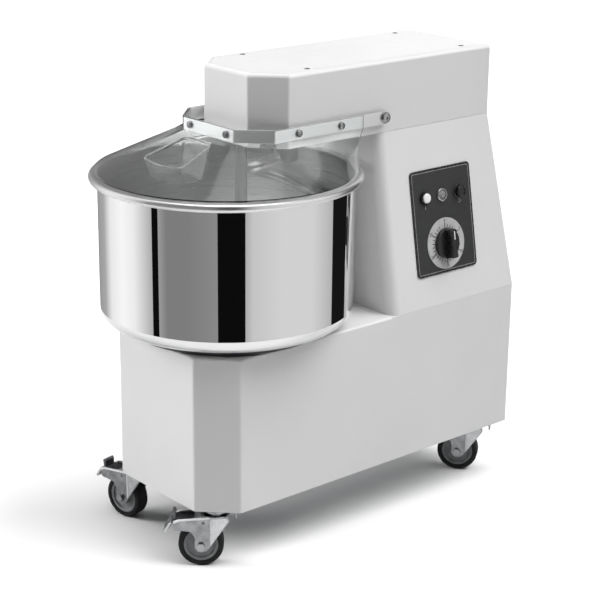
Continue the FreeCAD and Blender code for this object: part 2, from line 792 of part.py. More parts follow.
def chute_body(inset):
    """Tapered four-sided filling chute in the front of the cover."""
    sections = []
    for z, near, far, near_half, far_half in (chute_foot, chute_mouth):
        corners = [Vector(near_half - inset, near + inset, z), Vector(far_half - inset, far - inset, z),
                   Vector(inset - far_half, far - inset, z), Vector(inset - near_half, near + inset, z)]
        sections.append(Part.makePolygon(corners + corners[:1]))
    return Part.makeLoft(sections, True, True)


def guard_cover():
    filled = cover_body(0, cover_rear_y + 12)
    skirt = filled.cut(cover_body(clear_wall, cover_rear_y + 30))
    collar_outer = prism(band_outline(-clear_wall, cover_rear_y - clear_wall), band_bottom, band_top)
    collar_inner = prism(band_outline(-0.05, cover_rear_y + 20), band_bottom - 1, band_top + 1)
    collar = collar_outer.cut(collar_inner)
    rear_cut = side_cut_behind_cover()
    chute = chute_body(0).common(filled).cut(chute_body(clear_wall))
    cover = skirt.cut(rear_cut).cut(chute_body(0))
    cover = cover.fuse(collar).fuse(chute)
    for place, outward in guard_screw_places():
        cover = cover.cut(rod(2.55, place + outward * 5, place - outward * 8))
    return cover


def side_cut_behind_cover():
    """Everything behind the cover's raked rear edge."""
    low = band_bottom - 80
    foot = cover_rear_y - cover_rear_rake * (band_bottom - low)
    profile = [Vector(-300, cover_rear_y, band_bottom + 1), Vector(-300, foot, low),
               Vector(-300, 400, low), Vector(-300, 400, band_bottom + 1)]
    return Part.Face(Part.makePolygon(profile + profile[:1])).extrude(Vector(600, 0, 0))


def guard_screw_places():
    """Where each screw head sits on the collar, and the way it faces."""
    side = band_half_width + clear_wall
    front = band_front - clear_wall
    places = [(Vector(x, front, guard_middle), Vector(0, -1, 0)) for x in (-50.0, 50.0)]
    places += [(Vector(turn * side, y, guard_middle), Vector(turn, 0, 0))
               for turn in (-1, 1) for y in (62.0, 159.0)]
    return places


def dome_screw(place, outward):
    head = post(6.2, 0, 3.4)
    head = head.makeFillet(2.6, edges_at(head, 3.4))
    slot = box(-7, 7, -0.7, 0.7, 2.2, 4)
    screw = head.cut(slot).fuse(post(2.4, -8, 0))
    turn = Rotation(up, outward)
    return placed(screw, Placement(place, turn))


def guard_screws():
    return [dome_screw(place, outward) for place, outward in guard_screw_places()]


def pivot_bolt(side):
    """Shoulder bolt through one arm: spacer, shank, washer and capped head."""
    wall = head_half_width
    arm_inside = band_half_width - band_thickness

    def disc(radius, start, end):
        return rod(radius, Vector(side * start, pivot_y, pivot_z), Vector(side * end, pivot_y, pivot_z))

    shank = disc(pivot_radius, wall - 14, band_half_width + 2)
    spacer = disc(9, wall, arm_inside - free_gap)
    washer = disc(11, band_half_width + free_gap, band_half_width + 2)
    cap = disc(8.5, band_half_width + 2, band_half_width + 6.5)
    outer_edge = [edge for edge in cap.Edges
                  if abs(abs(edge.CenterOfMass.x) - band_half_width - 6.5) < 1e-6]
    cap = cap.makeFillet(2.5, outer_edge)
    dimple = disc(1.6, band_half_width + 4, band_half_width + 8)
    return fused([shank, spacer, washer, cap]).cut(dimple)


def guard_switch():
    wall = sheet - head_half_width
    body = box(wall, wall + 24, pivot_y + 14, pivot_y + 54, pivot_z - 15, pivot_z + 15)
    lever = box(wall + 4, wall + 10, pivot_y + 6, pivot_y + 14, pivot_z - 3, pivot_z + 3)
    return body.fuse(lever)


# --- Casters ---------------------------------------------------------------------------------------
def caster_place(x, y, angle):
    return Placement(Vector(x, y, 0), Rotation(up, angle))


def caster_head():
    race = post(22.0, 103.5, base_bottom)
    cup = post(18.0, fork_top + free_gap, 103.5)
    stem = post(6.0, base_bottom, base_bottom + 18)
    kingpin = post(kingpin_radius, 88.0, fork_top + 1)
    rivet = post(8.0, 86.0, fork_top - 3.0 - free_gap)
    return fused([race, cup, stem, kingpin, rivet])


def fork():
    """Two side plates, bridged on top, with the brake housing behind the swivel."""
    rear = caster_trail + pedal_reach
    outline = [(-22, fork_top), (-24, 88), (caster_trail - 13, 34), (caster_trail - 5, 28.5),
               (caster_trail + 5, 28.5), (caster_trail + 11, 36), (caster_trail + 11, 58),
               (caster_trail + 18, 68), (rear - 1, 71), (rear, 86), (rear - 9, 91),
               (swivel_plate_radius, 95), (18, fork_top)]
    leg_outer = leg_inner + leg_thickness
    legs = [side_plate(outline, leg_inner, leg_outer), side_plate(outline, -leg_outer, -leg_inner)]
    plate = post(swivel_plate_radius, fork_top - 3, fork_top)
    bridge = box(-18, 22, -leg_outer, leg_outer, fork_top - 3, fork_top)
    tongue = box(-34, -18, -6, 6, fork_top - 3, fork_top)
    tongue_end = box(-37, -34, -7, 7, fork_top - 9, fork_top + 3)
    body = fused([plate, bridge, tongue, tongue_end] + legs)
    body = body.cut(post(kingpin_radius + running_fit, fork_top - 10, fork_top + 10))
    reach = leg_outer + 1
    axle_hole = rod(axle_radius, Vector(caster_trail, -reach, wheel_radius),
                    Vector(caster_trail, reach, wheel_radius))
    pedal_hole = rod(pedal_pin_radius + running_fit, Vector(pedal_pivot_x, -reach, pedal_pivot_z),
                     Vector(pedal_pivot_x, reach, pedal_pivot_z))
    return body.cut(axle_hole).cut(pedal_hole)


def axle_bolt():
    outside = leg_inner + leg_thickness
    shank = rod(axle_radius, Vector(caster_trail, -outside, wheel_radius),
                Vector(caster_trail, outside, wheel_radius))
    ends = [shank]
    for side in (-1, 1):
        start, end = sorted((side * outside, side * (outside + 5)))
        ends.append(side_plate(hexagon(7.5, caster_trail, wheel_radius), start, end))
    return fused(ends)


def wheel_core():
    along = Vector(0, 1, 0)

    def drum(radius, half):
        return Part.makeCylinder(radius, 2 * half, Vector(caster_trail, -half, wheel_radius), along)

    core = drum(core_radius, core_width / 2).fuse(drum(10.0, leg_inner - 0.5))
    for side in (-1, 1):
        start = Vector(caster_trail, side * core_width / 2, wheel_radius)
        dish = Part.makeCylinder(core_radius - 5, 3.5, start, along * -side)
        dish = dish.cut(Part.makeCylinder(14.0, 3.5, start, along * -side))
        core = core.cut(dish)
    return core.cut(drum(axle_radius + running_fit, leg_inner + 1))


def tyre():
    along = Vector(0, 1, 0)
    start = Vector(caster_trail, -tyre_width / 2, wheel_radius)
    body = Part.makeCylinder(wheel_radius, tyre_width, start, along)
    body = body.makeFillet(5.0, [edge for edge in body.Edges if edge.Closed])
    return body.cut(Part.makeCylinder(core_radius, tyre_width, start, along))


def brake_pedal():
    """Rocker between the fork's side plates: foot plate, lifting tab and hinge barrel."""
    half = leg_inner - 1.0
    start = pedal_pivot_x + 4
    tip = caster_trail + pedal_reach
    under, top = pedal_pivot_z - 0.5, pedal_pivot_z + 3
    tread = side_plate([(start, under), (tip, under), (tip, top), (start, top)], -half, half)
    foot = side_plate([(tip, under), (tip + 13, 66), (tip + 16, 68), (tip + 2, top), (tip, top)],
                      -half + 2, half - 2)
    tab = side_plate([(tip - 4, top), (tip, top), (tip + 1, 101), (tip - 2, 103), (tip - 5, 100)],
                     -half + 4, half - 4)
    pivot = Vector(pedal_pivot_x, 0, pedal_pivot_z)
    across = Vector(0, 1, 0)
    barrel = rod(4.5, pivot - across * half, pivot + across * half)
    reach = leg_inner + leg_thickness
    pin = rod(pedal_pin_radius, pivot - across * reach, pivot + across * reach)
    return fused([tread, foot, tab, barrel, pin])


def cable_gland():
    nut = prism(hexagon(13, 0, gland_y), base_bottom - 8, base_bottom)
    dome = post(11.0, base_bottom - 20, base_bottom - 8, 0, gland_y)
    dome = dome.makeFillet(4.0, edges_at(dome, base_bottom - 20))
    thread = post(gland_thread, base_bottom, base_bottom + 12, 0, gland_y)
    return fused([nut, dome, thread]).cut(post(5.0, base_bottom - 21, base_bottom + 13, 0, gland_y))


# --- Every part --------------------------------------------------------------------------------------
os.makedirs("parts", exist_ok=True)

save("base_shell", base_shell())
save("base_bottom_plate", base_bottom_plate())
save("column_shell", column_shell())
save("rear_cover", rear_cover())
save("head_shell", head_shell())
save("head_lid", head_lid())
save("cover_screws", *cover_screws())
save("cable_gland", cable_gland())

on_panel = panel_placement()
save("control_panel", placed(control_panel(), on_panel))
save("dial_plate", placed(dial_plate(), on_panel))
save("button_bezels", *[placed(button_bezel(column), on_panel) for column in (-1, 1)])
save("pilot_lamp", *[placed(solid, on_panel) for solid in pilot_lamp()])
save("panel_switches", *[placed(solid, on_panel) for solid in panel_switches()])
save("timer_knob", placed(timer_knob(), on_panel))
save("start_button", placed(start_button(), on_panel))
save("stop_button", placed(stop_button(), on_panel))

save("bearing_housings",
     bearing_housing(0, base_inner_top, -1),
     bearing_housing(spiral_y, head_floor_top, 1))
save("shaft_bearings", *shaft_bearings())
save("gearbox", gearbox())
save("motor", motor())
save("drive_bracket", drive_bracket())
save("drive_shaft", drive_shaft())
save("drive_lower_sprocket", sprocket(lower_pinion_teeth, drive_y, lower_chain_z, 90))
save("drive_upper_sprocket", sprocket(drive_teeth, drive_y, upper_chain_z, 90))
save("lower_chain", chain(bowl_teeth, 0, lower_pinion_teeth, drive_y, lower_chain_z))
save("upper_chain", chain(spiral_teeth, spiral_y, drive_teeth, drive_y, upper_chain_z))

save("bowl", bowl())
save("bowl_turntable", bowl_turntable())
save("bowl_shaft", bowl_shaft())
save("bowl_sprocket", sprocket(bowl_teeth, 0, lower_chain_z, 270))
save("spiral_shaft", spiral_shaft())
save("spiral_hook", spiral_hook())
save("spiral_sprocket", sprocket(spiral_teeth, spiral_y, upper_chain_z, 270))
save("breaker_bar", *breaker_bar())

save("guard_band", guard_band())
save("guard_cover", guard_cover())
save("guard_screws", *guard_screws())
save("guard_pivot_bolts", pivot_bolt(-1), pivot_bolt(1))
save("guard_switch", guard_switch())

save("caster_heads", *[placed(caster_head(), caster_place(x, y, angle)) for _, x, y, angle in casters])
for name, x, y, angle in casters:
    place = caster_place(x, y, angle)
    save(name + "_fork", placed(fork(), place))
    save(name + "_axle", placed(axle_bolt(), place))
    save(name + "_wheel", placed(wheel_core(), place))
    save(name + "_tyre", placed(tyre(), place))
    save(name + "_brake_pedal", placed(brake_pedal(), place))
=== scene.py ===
# Looks of the spiral dough mixer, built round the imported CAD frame.
# The row frame is in metres. Pieces are made in millimetres measured from the bowl's axis and the
# floor, +Z up, front towards -Y, and piece() moves them into the row frame.

import json
from math import asin, atan, atan2, copysign, cos, pi, radians, sin, sqrt, tan

import bmesh
import bpy
from mathutils import Matrix, Vector


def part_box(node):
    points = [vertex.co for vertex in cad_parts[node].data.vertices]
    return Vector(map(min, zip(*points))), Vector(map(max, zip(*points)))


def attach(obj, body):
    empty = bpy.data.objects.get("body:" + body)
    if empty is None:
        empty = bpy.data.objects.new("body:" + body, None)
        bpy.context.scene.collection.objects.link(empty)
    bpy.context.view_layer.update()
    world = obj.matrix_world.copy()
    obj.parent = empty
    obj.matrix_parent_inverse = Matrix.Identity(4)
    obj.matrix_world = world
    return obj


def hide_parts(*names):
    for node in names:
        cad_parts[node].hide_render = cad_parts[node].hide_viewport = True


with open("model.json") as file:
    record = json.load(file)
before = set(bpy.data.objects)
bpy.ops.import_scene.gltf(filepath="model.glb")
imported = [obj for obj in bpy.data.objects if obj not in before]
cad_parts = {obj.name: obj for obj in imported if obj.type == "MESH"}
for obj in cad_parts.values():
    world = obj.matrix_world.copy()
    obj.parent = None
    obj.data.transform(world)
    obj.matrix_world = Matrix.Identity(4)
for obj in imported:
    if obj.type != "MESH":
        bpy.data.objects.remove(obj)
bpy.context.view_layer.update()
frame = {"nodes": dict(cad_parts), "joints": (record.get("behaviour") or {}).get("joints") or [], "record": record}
scene = bpy.context.scene
move, in_place = Matrix.Translation, Matrix.Identity(4)

# --- Camera and studio ---
camera_place = (2.2658, -1.9586, 1.3912)
camera_azimuth = 49.09           # 0 looks along +Y
camera_elevation = 18.33
camera_roll = 0.59
camera_lens = 102.15             # on a 36 mm sensor
floor_size = 30.0
wall_radius, wall_height = 1.25, 3.0     # of the upright studio panels that the steel mirrors
bowl_wall_share = 0.9375                 # the bowl's wall is this share of its rim's radius
high_panel_corners = ((0.35, 1.5, 1.25), (1.7, 0.9, 1.25), (1.6, 0.6, 2.3), (0.35, 1.2, 2.3))

# Studio panels round the machine, as the bowl's outside mirrors them: each runs from one share of
# the bowl's half-width to the next, with its brightness at either end.
studio_panels = [
    (-1.0, -0.995, 0.15, 0.2),
    (-0.995, -0.94, 0.30, 0.42),
    (-0.94, -0.89, 0.42, 0.88),
    (-0.89, -0.80, 0.88, 1.02),
    (-0.80, -0.71, 1.02, 0.92),
    (-0.71, -0.567, 0.92, 0.45),
    (-0.567, -0.52, 0.004, 0.004),
    (-0.52, -0.46, 0.36, 0.232),
    (-0.46, -0.30, 0.225, 0.225),
    (-0.30, -0.07, 0.225, 0.275),
    (-0.07, 0.14, 0.004, 0.004),
    (0.14, 0.20, 0.46, 0.61),
    (0.20, 0.42, 0.61, 0.70),
    (0.42, 0.65, 0.70, 0.70),
    (0.65, 0.81, 0.70, 0.48),
    (0.81, 0.95, 0.008, 0.008),
    (0.95, 0.985, 0.8, 0.8),
    (0.985, 1.0, 0.4, 0.15),
]

# --- Sizes from the frame, in millimetres ---
bowl_low, bowl_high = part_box("bowl")
bowl_axis = Vector((0, (bowl_low.y + bowl_high.y) / 2, 0))
to_row = move(bowl_axis) @ Matrix.Scale(0.001, 4)


def span(node):
    """Lowest and highest corner of a CAD node, in millimetres from the bowl's axis."""
    low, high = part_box(node)
    return (low - bowl_axis) * 1000, (high - bowl_axis) * 1000


# --- Finishes ---
finishes = {}
even_marks, upright_marks, level_marks = (1, 1, 1), (1, 1, 0.05), (0.02, 0.02, 1)


def set_inputs(node, **values):
    """Sets inputs of a shader node, named with _ for a space."""
    for socket, value in values.items():
        node.inputs[socket.replace("_", " ")].default_value = value
    return node


def add(tree, kind, operation=None, **values):
    """A new shader node with its operation and inputs set."""
    node = tree.nodes.new("ShaderNode" + kind)
    if operation:
        node.operation = operation
    return set_inputs(node, **values)


def wire(source, output, target, socket):
    """Links an output of one node to an input of another."""
    source.id_data.links.new(source.outputs[output], target.inputs[socket])


def rgba(colour):
    """Opaque colour; a single number stands for a grey."""
    red, green, blue = (colour,) * 3 if isinstance(colour, float) else colour
    return (red, green, blue, 1)


def shader_of(material):
    return material.node_tree.nodes["Principled BSDF"]


def finish(name, colour, metallic, roughness, **values):
    """A material with one Principled shader, kept under its name."""
    material = bpy.data.materials.new(name)
    material.use_nodes = True
    set_inputs(shader_of(material), Base_Color=rgba(colour), Metallic=metallic, Roughness=roughness,
               **values)
    finishes[name] = material
    return material


def noise(material, scale, stretch=(1, 1, 1), detail=4.0):
    """Noise over the object's own coordinates, in metres, drawn out by stretch."""
    tree = material.node_tree
    mapping = add(tree, "Mapping", Scale=stretch)
    texture = add(tree, "TexNoise", Scale=scale, Detail=detail)
    wire(add(tree, "TexCoord"), "Object", mapping, "Vector")
    wire(mapping, "Vector", texture, "Vector")
    return texture


def round_noise(material, scale):
    """Noise in fine rings round the bowl's axis, as turning and polishing leave them."""
    tree = material.node_tree
    centred = add(tree, "Mapping", Location=(0, -bowl_axis.y, 0))
    flat = add(tree, "VectorMath", "MULTIPLY")
    flat.inputs[1].default_value = (1, 1, 0)
    distance = add(tree, "VectorMath", "LENGTH")
    split = add(tree, "SeparateXYZ")
    joined = add(tree, "CombineXYZ")
    texture = add(tree, "TexNoise", Scale=scale)
    wire(add(tree, "TexCoord"), "Object", centred, "Vector")
    wire(centred, "Vector", flat, 0)
    wire(flat, "Vector", distance, 0)
    wire(centred, "Vector", split, "Vector")
    wire(distance, "Value", joined, "X")
    wire(split, "Z", joined, "Z")
    wire(joined, "Vector", texture, "Vector")
    return texture


def tint(material, texture, dark, light):
    """Base colour that wanders between two close shades."""
    ramp = add(material.node_tree, "ValToRGB")
    for element, position, colour in zip(ramp.color_ramp.elements, (0.3, 0.7), (dark, light)):
        element.position = position
        element.color = rgba(colour)
    wire(texture, "Fac", ramp, "Fac")
    wire(ramp, "Color", shader_of(material), "Base Color")


def gloss(material, texture, low, high):
    """Roughness that wanders between two numbers."""
    ranged = add(material.node_tree, "MapRange", From_Min=0.3, From_Max=0.7, To_Min=low, To_Max=high)
    wire(texture, "Fac", ranged, "Value")
    wire(ranged, "Result", shader_of(material), "Roughness")


def relief(material, texture, depth, strength=1.0):
    """Fine bumps, depth in metres."""
    bump = add(material.node_tree, "Bump", Strength=strength, Distance=depth)
    wire(texture, "Fac", bump, "Height")
    wire(bump, "Normal", shader_of(material), "Normal")


def painted(name, dark, light, low, high, grain=0.00003):
    """Powder coat: a faint orange peel, its gloss a little uneven."""
    material = finish(name, light, 0.0, high)
    tint(material, noise(material, 6, detail=2), dark, light)
    gloss(material, noise(material, 40), low, high)
    relief(material, noise(material, 700, detail=2), grain)


def brushed(name, dark, light, low, high, marks=even_marks, depth=0.00002, metallic=1.0):
    """Metal with grinding marks, drawn out one way or even."""
    material = finish(name, light, metallic, high)
    fine = noise(material, 900, marks, detail=6)
    tint(material, noise(material, 60, marks, detail=3), dark, light)
    gloss(material, fine, low, high)
    relief(material, fine, depth)


def turned(name, dark, light, low, high, depth):
    """Metal polished in rings round the bowl's axis."""
    material = finish(name, light, 1.0, high)
    rings = round_noise(material, 400)
    tint(material, rings, dark, light)
    gloss(material, rings, low, high)
    relief(material, rings, depth)


def moulded(name, dark, light, low, high, grain=0.00004, specular=0.5):
    """Plastic or rubber with a fine spark-eroded skin."""
    material = finish(name, light, 0.0, high, Specular_IOR_Level=specular)
    tint(material, noise(material, 90, detail=3), dark, light)
    gloss(material, noise(material, 160), low, high)
    relief(material, noise(material, 1500, detail=2), grain)


def see_through(name, colour, roughness, low, high, transmission, index, rubs, ripples, depth):
    """Clear plastic with faint rub marks and slow ripples."""
    material = finish(name, colour, 0.0, roughness, Transmission_Weight=transmission, IOR=index)
    gloss(material, noise(material, rubs), low, high)
    relief(material, noise(material, ripples, detail=1), depth, 0.15)


painted("white_paint", 0.67, 0.69, 0.34, 0.46)
painted("black_paint", (0.012, 0.012, 0.013), (0.02, 0.02, 0.022), 0.3, 0.45)
painted("motor_paint", (0.05, 0.07, 0.09), (0.06, 0.085, 0.11), 0.4, 0.55)
painted("cast_iron", 0.10, 0.16, 0.5, 0.7, 0.0003)
brushed("zinc_plate", (0.27, 0.28, 0.29), (0.44, 0.45, 0.46), 0.2, 0.36)
# Paler copy of the zinc plate: a painted lit face on the caster legs' cheeks, and the brake's own paler foot
# plate.
brushed("pale_steel_and_lit_zinc", (0.55, 0.56, 0.57), (0.75, 0.76, 0.77), 0.2, 0.34)
# Near-white, barely metallic copy of the zinc plate: a painted highlight on the caster legs' creases and top
# edges.
brushed("zinc_painted_highlight", (0.84, 0.84, 0.85), (0.92, 0.92, 0.93), 0.3, 0.4, metallic=0.3)
brushed("brake_steel", (0.10, 0.10, 0.11), (0.2, 0.2, 0.21), 0.3, 0.5)
brushed("steel_screws", (0.36, 0.36, 0.37), (0.5, 0.5, 0.51), 0.15, 0.28)
brushed("bearing_steel", (0.55, 0.55, 0.56), (0.65, 0.65, 0.66), 0.15, 0.3)
brushed("shaft_steel", (0.42, 0.42, 0.43), (0.52, 0.52, 0.53), 0.25, 0.4)
brushed("satin_steel", 0.56, 0.63, 0.2, 0.28, upright_marks, 0.000003)
brushed("brushed_steel", (0.84, 0.84, 0.845), (0.92, 0.92, 0.925), 0.3, 0.4, level_marks)
turned("polished_steel", (0.895, 0.895, 0.9), (0.91, 0.91, 0.915), 0.015, 0.03, 0.0)
turned("rim_steel", 0.80, 0.86, 0.26, 0.34, 0.00001)
turned("bowl_inside", 0.76, 0.80, 0.26, 0.32, 0.000003)
moulded("lamp_lens", 0.20, 0.32, 0.04, 0.1, 0.00001)
moulded("pale_print", 0.30, 0.36, 0.35, 0.45)
moulded("black_plastic", (0.008, 0.008, 0.009), (0.014, 0.014, 0.015), 0.22, 0.34)
moulded("panel_face", (0.018, 0.0185, 0.0195), (0.022, 0.0225, 0.0235), 0.42, 0.52)
moulded("dial_face", (0.42, 0.42, 0.425), (0.47, 0.47, 0.475), 0.35, 0.5, 0.00002)
moulded("white_cap", (0.75, 0.75, 0.74), (0.85, 0.85, 0.84), 0.2, 0.3)
moulded("grey_plastic", (0.19, 0.2, 0.205), (0.25, 0.26, 0.265), 0.35, 0.5)
moulded("tyre", 0.009, 0.016, 0.5, 0.7, 0.0001, specular=0.25)
see_through("clear_plastic", (0.97, 0.985, 0.98), 0.02, 0.01, 0.05, 1.0, 1.46, 30, 14, 0.0004)
see_through("chute_plastic", (0.93, 0.935, 0.93), 0.06, 0.04, 0.12, 0.98, 1.5, 40, 20, 0.0003)

for part in frame["record"]["subparts"]:
    for holder in frame["nodes"][part["node"]].material_slots:
        holder.material = finishes[part["material_slot"]]


# --- Mesh tools ---
shrink = 2 - sqrt(2)        # what a 45-degree cut loses for each millimetre of inset


def skin(bm, rings, closed=False, slot=0, at=in_place):
    """Joins rings of the same number of points by bands of faces, with a cap at either end."""
    rows = [[bm.verts.new(at @ Vector(point)) for point in ring] for ring in rings]
    pairs = list(zip(rows, rows[1:]))
    if closed:
        pairs.append((rows[-1], rows[0]))
    faces = []
    for low, high in pairs:
        for k in range(len(low)):
            after = (k + 1) % len(low)
            faces.append(bm.faces.new((low[k], low[after], high[after], high[k])))
    if not closed:
        faces.append(bm.faces.new(rows[0][::-1]))
        faces.append(bm.faces.new(rows[-1]))
    for face in faces:
        face.material_index = slot
    return faces


def lathe(bm, profile, segments=48, closed=False, slot=0, at=in_place):
    """Turns a profile of (radius, height) points round Z."""
    turns = [2 * pi * step / segments for step in range(segments)]
    rings = [[(radius * cos(turn), radius * sin(turn), height) for turn in turns]
             for radius, height in profile]
    return skin(bm, rings, closed=closed, slot=slot, at=at)


def prism(bm, outline, low, high, slot=0, at=in_place):
    return skin(bm, [[(x, y, z) for x, y in outline] for z in (low, high)], slot=slot, at=at)


def block(bm, low, high, slot=0, at=in_place):
    outline = [(low[0], low[1]), (high[0], low[1]), (high[0], high[1]), (low[0], high[1])]
    return prism(bm, outline, low[2], high[2], slot, at)


def arc(centre, radius, start, end, steps):
    """Points on an arc in a plane, angles in degrees."""
    points = []
    for step in range(steps + 1):
        turn = radians(start + (end - start) * step / steps)
        points.append((centre[0] + radius * cos(turn), centre[1] + radius * sin(turn)))
    return points


def rounded(corners, radii, steps=5):
    """Closed outline with its corners rounded; a radius of 0 keeps a corner."""
    outline = []
    for k, (corner, radius) in enumerate(zip(corners, radii)):
        here = Vector(corner)
        if radius == 0:
            outline.append(here)
            continue
        before = (Vector(corners[k - 1]) - here).normalized()
        after = (Vector(corners[(k + 1) % len(corners)]) - here).normalized()
        half = before.angle(after) / 2
        centre = here + (before + after).normalized() * radius / sin(half)
        start = here + before * radius / tan(half) - centre
        end = here + after * radius / tan(half) - centre
        turn = atan2(start.x * end.y - start.y * end.x, start.dot(end))
        for step in range(steps + 1):
            outline.append(centre + Matrix.Rotation(turn * step / steps, 2) @ start)
    return outline


def chamfered(half_width, front, rear, chamfer, inset=0.0):
    """A rectangle with its two front corners cut at 45 degrees, pulled in by inset."""
    side = half_width - inset
    cut = chamfer - inset * shrink
    near, far = front + inset, rear - inset
    return [(side, far), (-side, far), (-side, near + cut), (cut - side, near),
            (side - cut, near), (side, near + cut)]


def tube(bm, path, radius, sides, closed=False, tip=0):
    """Round bar along a path; tip rounds off its last end over that many rings."""
    points = [Vector(point) for point in path]
    turns = [2 * pi * side / sides for side in range(sides)]

    def ring(middle, reach):
        return [middle + reach * (cos(turn) * across + sin(turn) * second) for turn in turns]

    rings = []
    across = None
    for k, point in enumerate(points):
        before = points[k - 1] if closed or k else point
        after = points[(k + 1) % len(points)] if closed or k + 1 < len(points) else point
        along = (after - before).normalized()
        if across is None:
            across = along.orthogonal().normalized()
        across = (across - along * across.dot(along)).normalized()
        second = along.cross(across)
        rings.append(ring(point, radius))
    for step in range(1, tip + 1):
        lean = pi / 2 * step / (tip + 0.4)
        rings.append(ring(points[-1] + along * radius * sin(lean), radius * cos(lean)))
    skin(bm, rings, closed=closed)


def axes(origin, x_axis, y_axis, z_axis):
    """Matrix that puts a part's own X, Y and Z along the given directions."""
    return move(origin) @ Matrix((x_axis, y_axis, z_axis)).transposed().to_4x4()


def as_object(name, bm):
    """Turns a mesh being built into an object in the scene."""
    mesh = bpy.data.meshes.new(name)
    bm.to_mesh(mesh)
    bm.free()
    made = bpy.data.objects.new(name, mesh)
    scene.collection.objects.link(made)
    return made


def carve(bm, cutter):
    """Cuts one closed mesh out of another."""
    solids = []
    for source in (bm, cutter):
        bmesh.ops.recalc_face_normals(source, faces=source.faces)
        solids.append(as_object("carving", source))
    boolean = solids[0].modifiers.new("cut", "BOOLEAN")
    boolean.object = solids[1]
    boolean.solver = "EXACT"
    boolean.material_mode = "INDEX"
    result = bmesh.new()
    result.from_object(solids[0], bpy.context.evaluated_depsgraph_get())
    for solid in solids:
        mesh = solid.data
        bpy.data.objects.remove(solid)
        bpy.data.meshes.remove(mesh)
    return result


def piece(name, bm, looks, body, stands_for=(), edge=0.0, sharp=40):
    """Makes an object of a mesh in millimetres and hangs it on its CAD body."""
    bmesh.ops.recalc_face_normals(bm, faces=bm.faces)
    bm.transform(to_row)
    made = as_object(name, bm)
    for look in looks:
        made.data.materials.append(finishes[look])
    made.data.shade_smooth()
    made.data.set_sharp_from_angle(angle=radians(sharp))
    if edge:
        bevel = made.modifiers.new("edges", "BEVEL")
        bevel.width = edge / 1000
        bevel.segments = 2
        bevel.limit_method = "ANGLE"
        bevel.angle_limit = radians(sharp)
        bevel.harden_normals = True
    weighted = made.modifiers.new("shading", "WEIGHTED_NORMAL")
    weighted.keep_sharp = True
    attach(made, body)
    if stands_for:
        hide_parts(*stands_for)
    return made


def turned_piece(name, profile, segments, at, look, body, node, sharp, closed=False):
    """A piece that is one turned shape in one finish."""
    bm = bmesh.new()
    lathe(bm, profile, segments, closed=closed, at=at)
    piece(name, bm, [look], body, [node], sharp=sharp)


joints = {joint["name"]: joint for joint in frame["joints"]}


def joint_place(name):
    """Where a joint is, in millimetres from the bowl's axis."""
    return (Vector(joints[name]["pos_m"]) - bowl_axis) * 1000


# --- Casings ---
base_low, base_high = span("base_shell")
head_low, head_high = span("head_shell")
column_low, column_high = span("column_shell")
lid_high = span("head_lid")[1]
base_chamfer, head_chamfer, bend, sheet = 58.0, 50.0, 8.0, 2.0
shaft_hole = 22.0
drive_place = joint_place("drive_shaft_spin")
spiral_place = joint_place("spiral_spin")


def with_shaft_holes(bm, level, places):
    """A casing with a round hole for a shaft through its wall at each place."""
    holes = bmesh.new()
    for y in places:
        lathe(holes, [(shaft_hole, level - 5), (shaft_hole, level + 5)], at=move((0, y, 0)))
    return carve(bm, holes)


def base_casing():
    """Folded box, open below; its top edge is rounded only in front of the column."""
    column_front = column_low.y
    top, bottom = base_high.z, base_low.z
    top_bend = bend / 2
    steps = 5

    def ring(inset, height, corner):
        corners = chamfered(base_high.x, base_low.y, base_high.y, base_chamfer, inset)
        side = base_high.x - inset
        corners[2:2] = [(-side, column_front + 1), (-side, column_front - 1)]
        corners += [(side, column_front - 1), (side, column_front + 1)]
        radii = [corner, corner, 0, 0, corner, corner, corner, corner, 0, 0]
        return [(x, y, height) for x, y in rounded(corners, radii)]

    rings = [ring(sheet, top - sheet, bend - sheet), ring(sheet, bottom, bend - sheet),
             ring(0, bottom, bend)]
    for step in range(steps + 1):
        turn = pi / 2 * step / steps
        inset = top_bend * (1 - cos(turn))
        bent = ring(inset, top - top_bend + top_bend * sin(turn), bend - inset)
        plain = ring(0, top - top_bend + top_bend * step / steps, bend)
        rings.append([point if point[1] < column_front else straight
                      for point, straight in zip(bent, plain)])
    bm = bmesh.new()
    skin(bm, rings)
    holed = with_shaft_holes(bm, top, (0, drive_place.y))
    piece("base_casing", holed, ["white_paint"], "frame", ["base_shell"], sharp=30)


def head_casing():
    """Folded box with a shelf in its top, on which the lid lies flush."""
    bottom, top = head_low.z, head_high.z
    seam = head_high.x - lid_high.x - 1.0
    shelf = 26.0
    steps = 6

    def ring(inset, height):
        corners = chamfered(head_high.x, head_low.y, head_high.y, head_chamfer, inset)
        radii = [max(bend - inset, 0.6)] * len(corners)
        return [(x, y, height) for x, y in rounded(corners, radii)]

    rings = [ring(1.2, bottom), ring(0.4, bottom + 0.35), ring(0, bottom + 1.2), ring(0, top - bend)]
    for step in range(1, steps + 1):
        turn = pi / 2 * step / steps
        rings.append(ring(bend * (1 - cos(turn)), top - bend + bend * sin(turn)))
    rings += [ring(seam - 0.3, top), ring(seam, top - 0.3), ring(seam, top - sheet - 0.1),
              ring(seam + shelf, top - sheet - 0.1), ring(seam + shelf, top - 2 * sheet),
              ring(sheet, top - 2 * sheet - bend), ring(sheet, bottom + sheet)]
    bm = bmesh.new()
    skin(bm, rings)
    holed = with_shaft_holes(bm, bottom, (spiral_place.y, drive_place.y))
    piece("head_casing", holed, ["white_paint"], "frame", ["head_shell"], sharp=30)


lid_screw_in, lid_screw_front, lid_screw_rear = 22.0, 109.0, 60.0
cover_screw_rows = ((130.0, -135.0), (88.0, 135.0))     # to the side and along the cover's slope


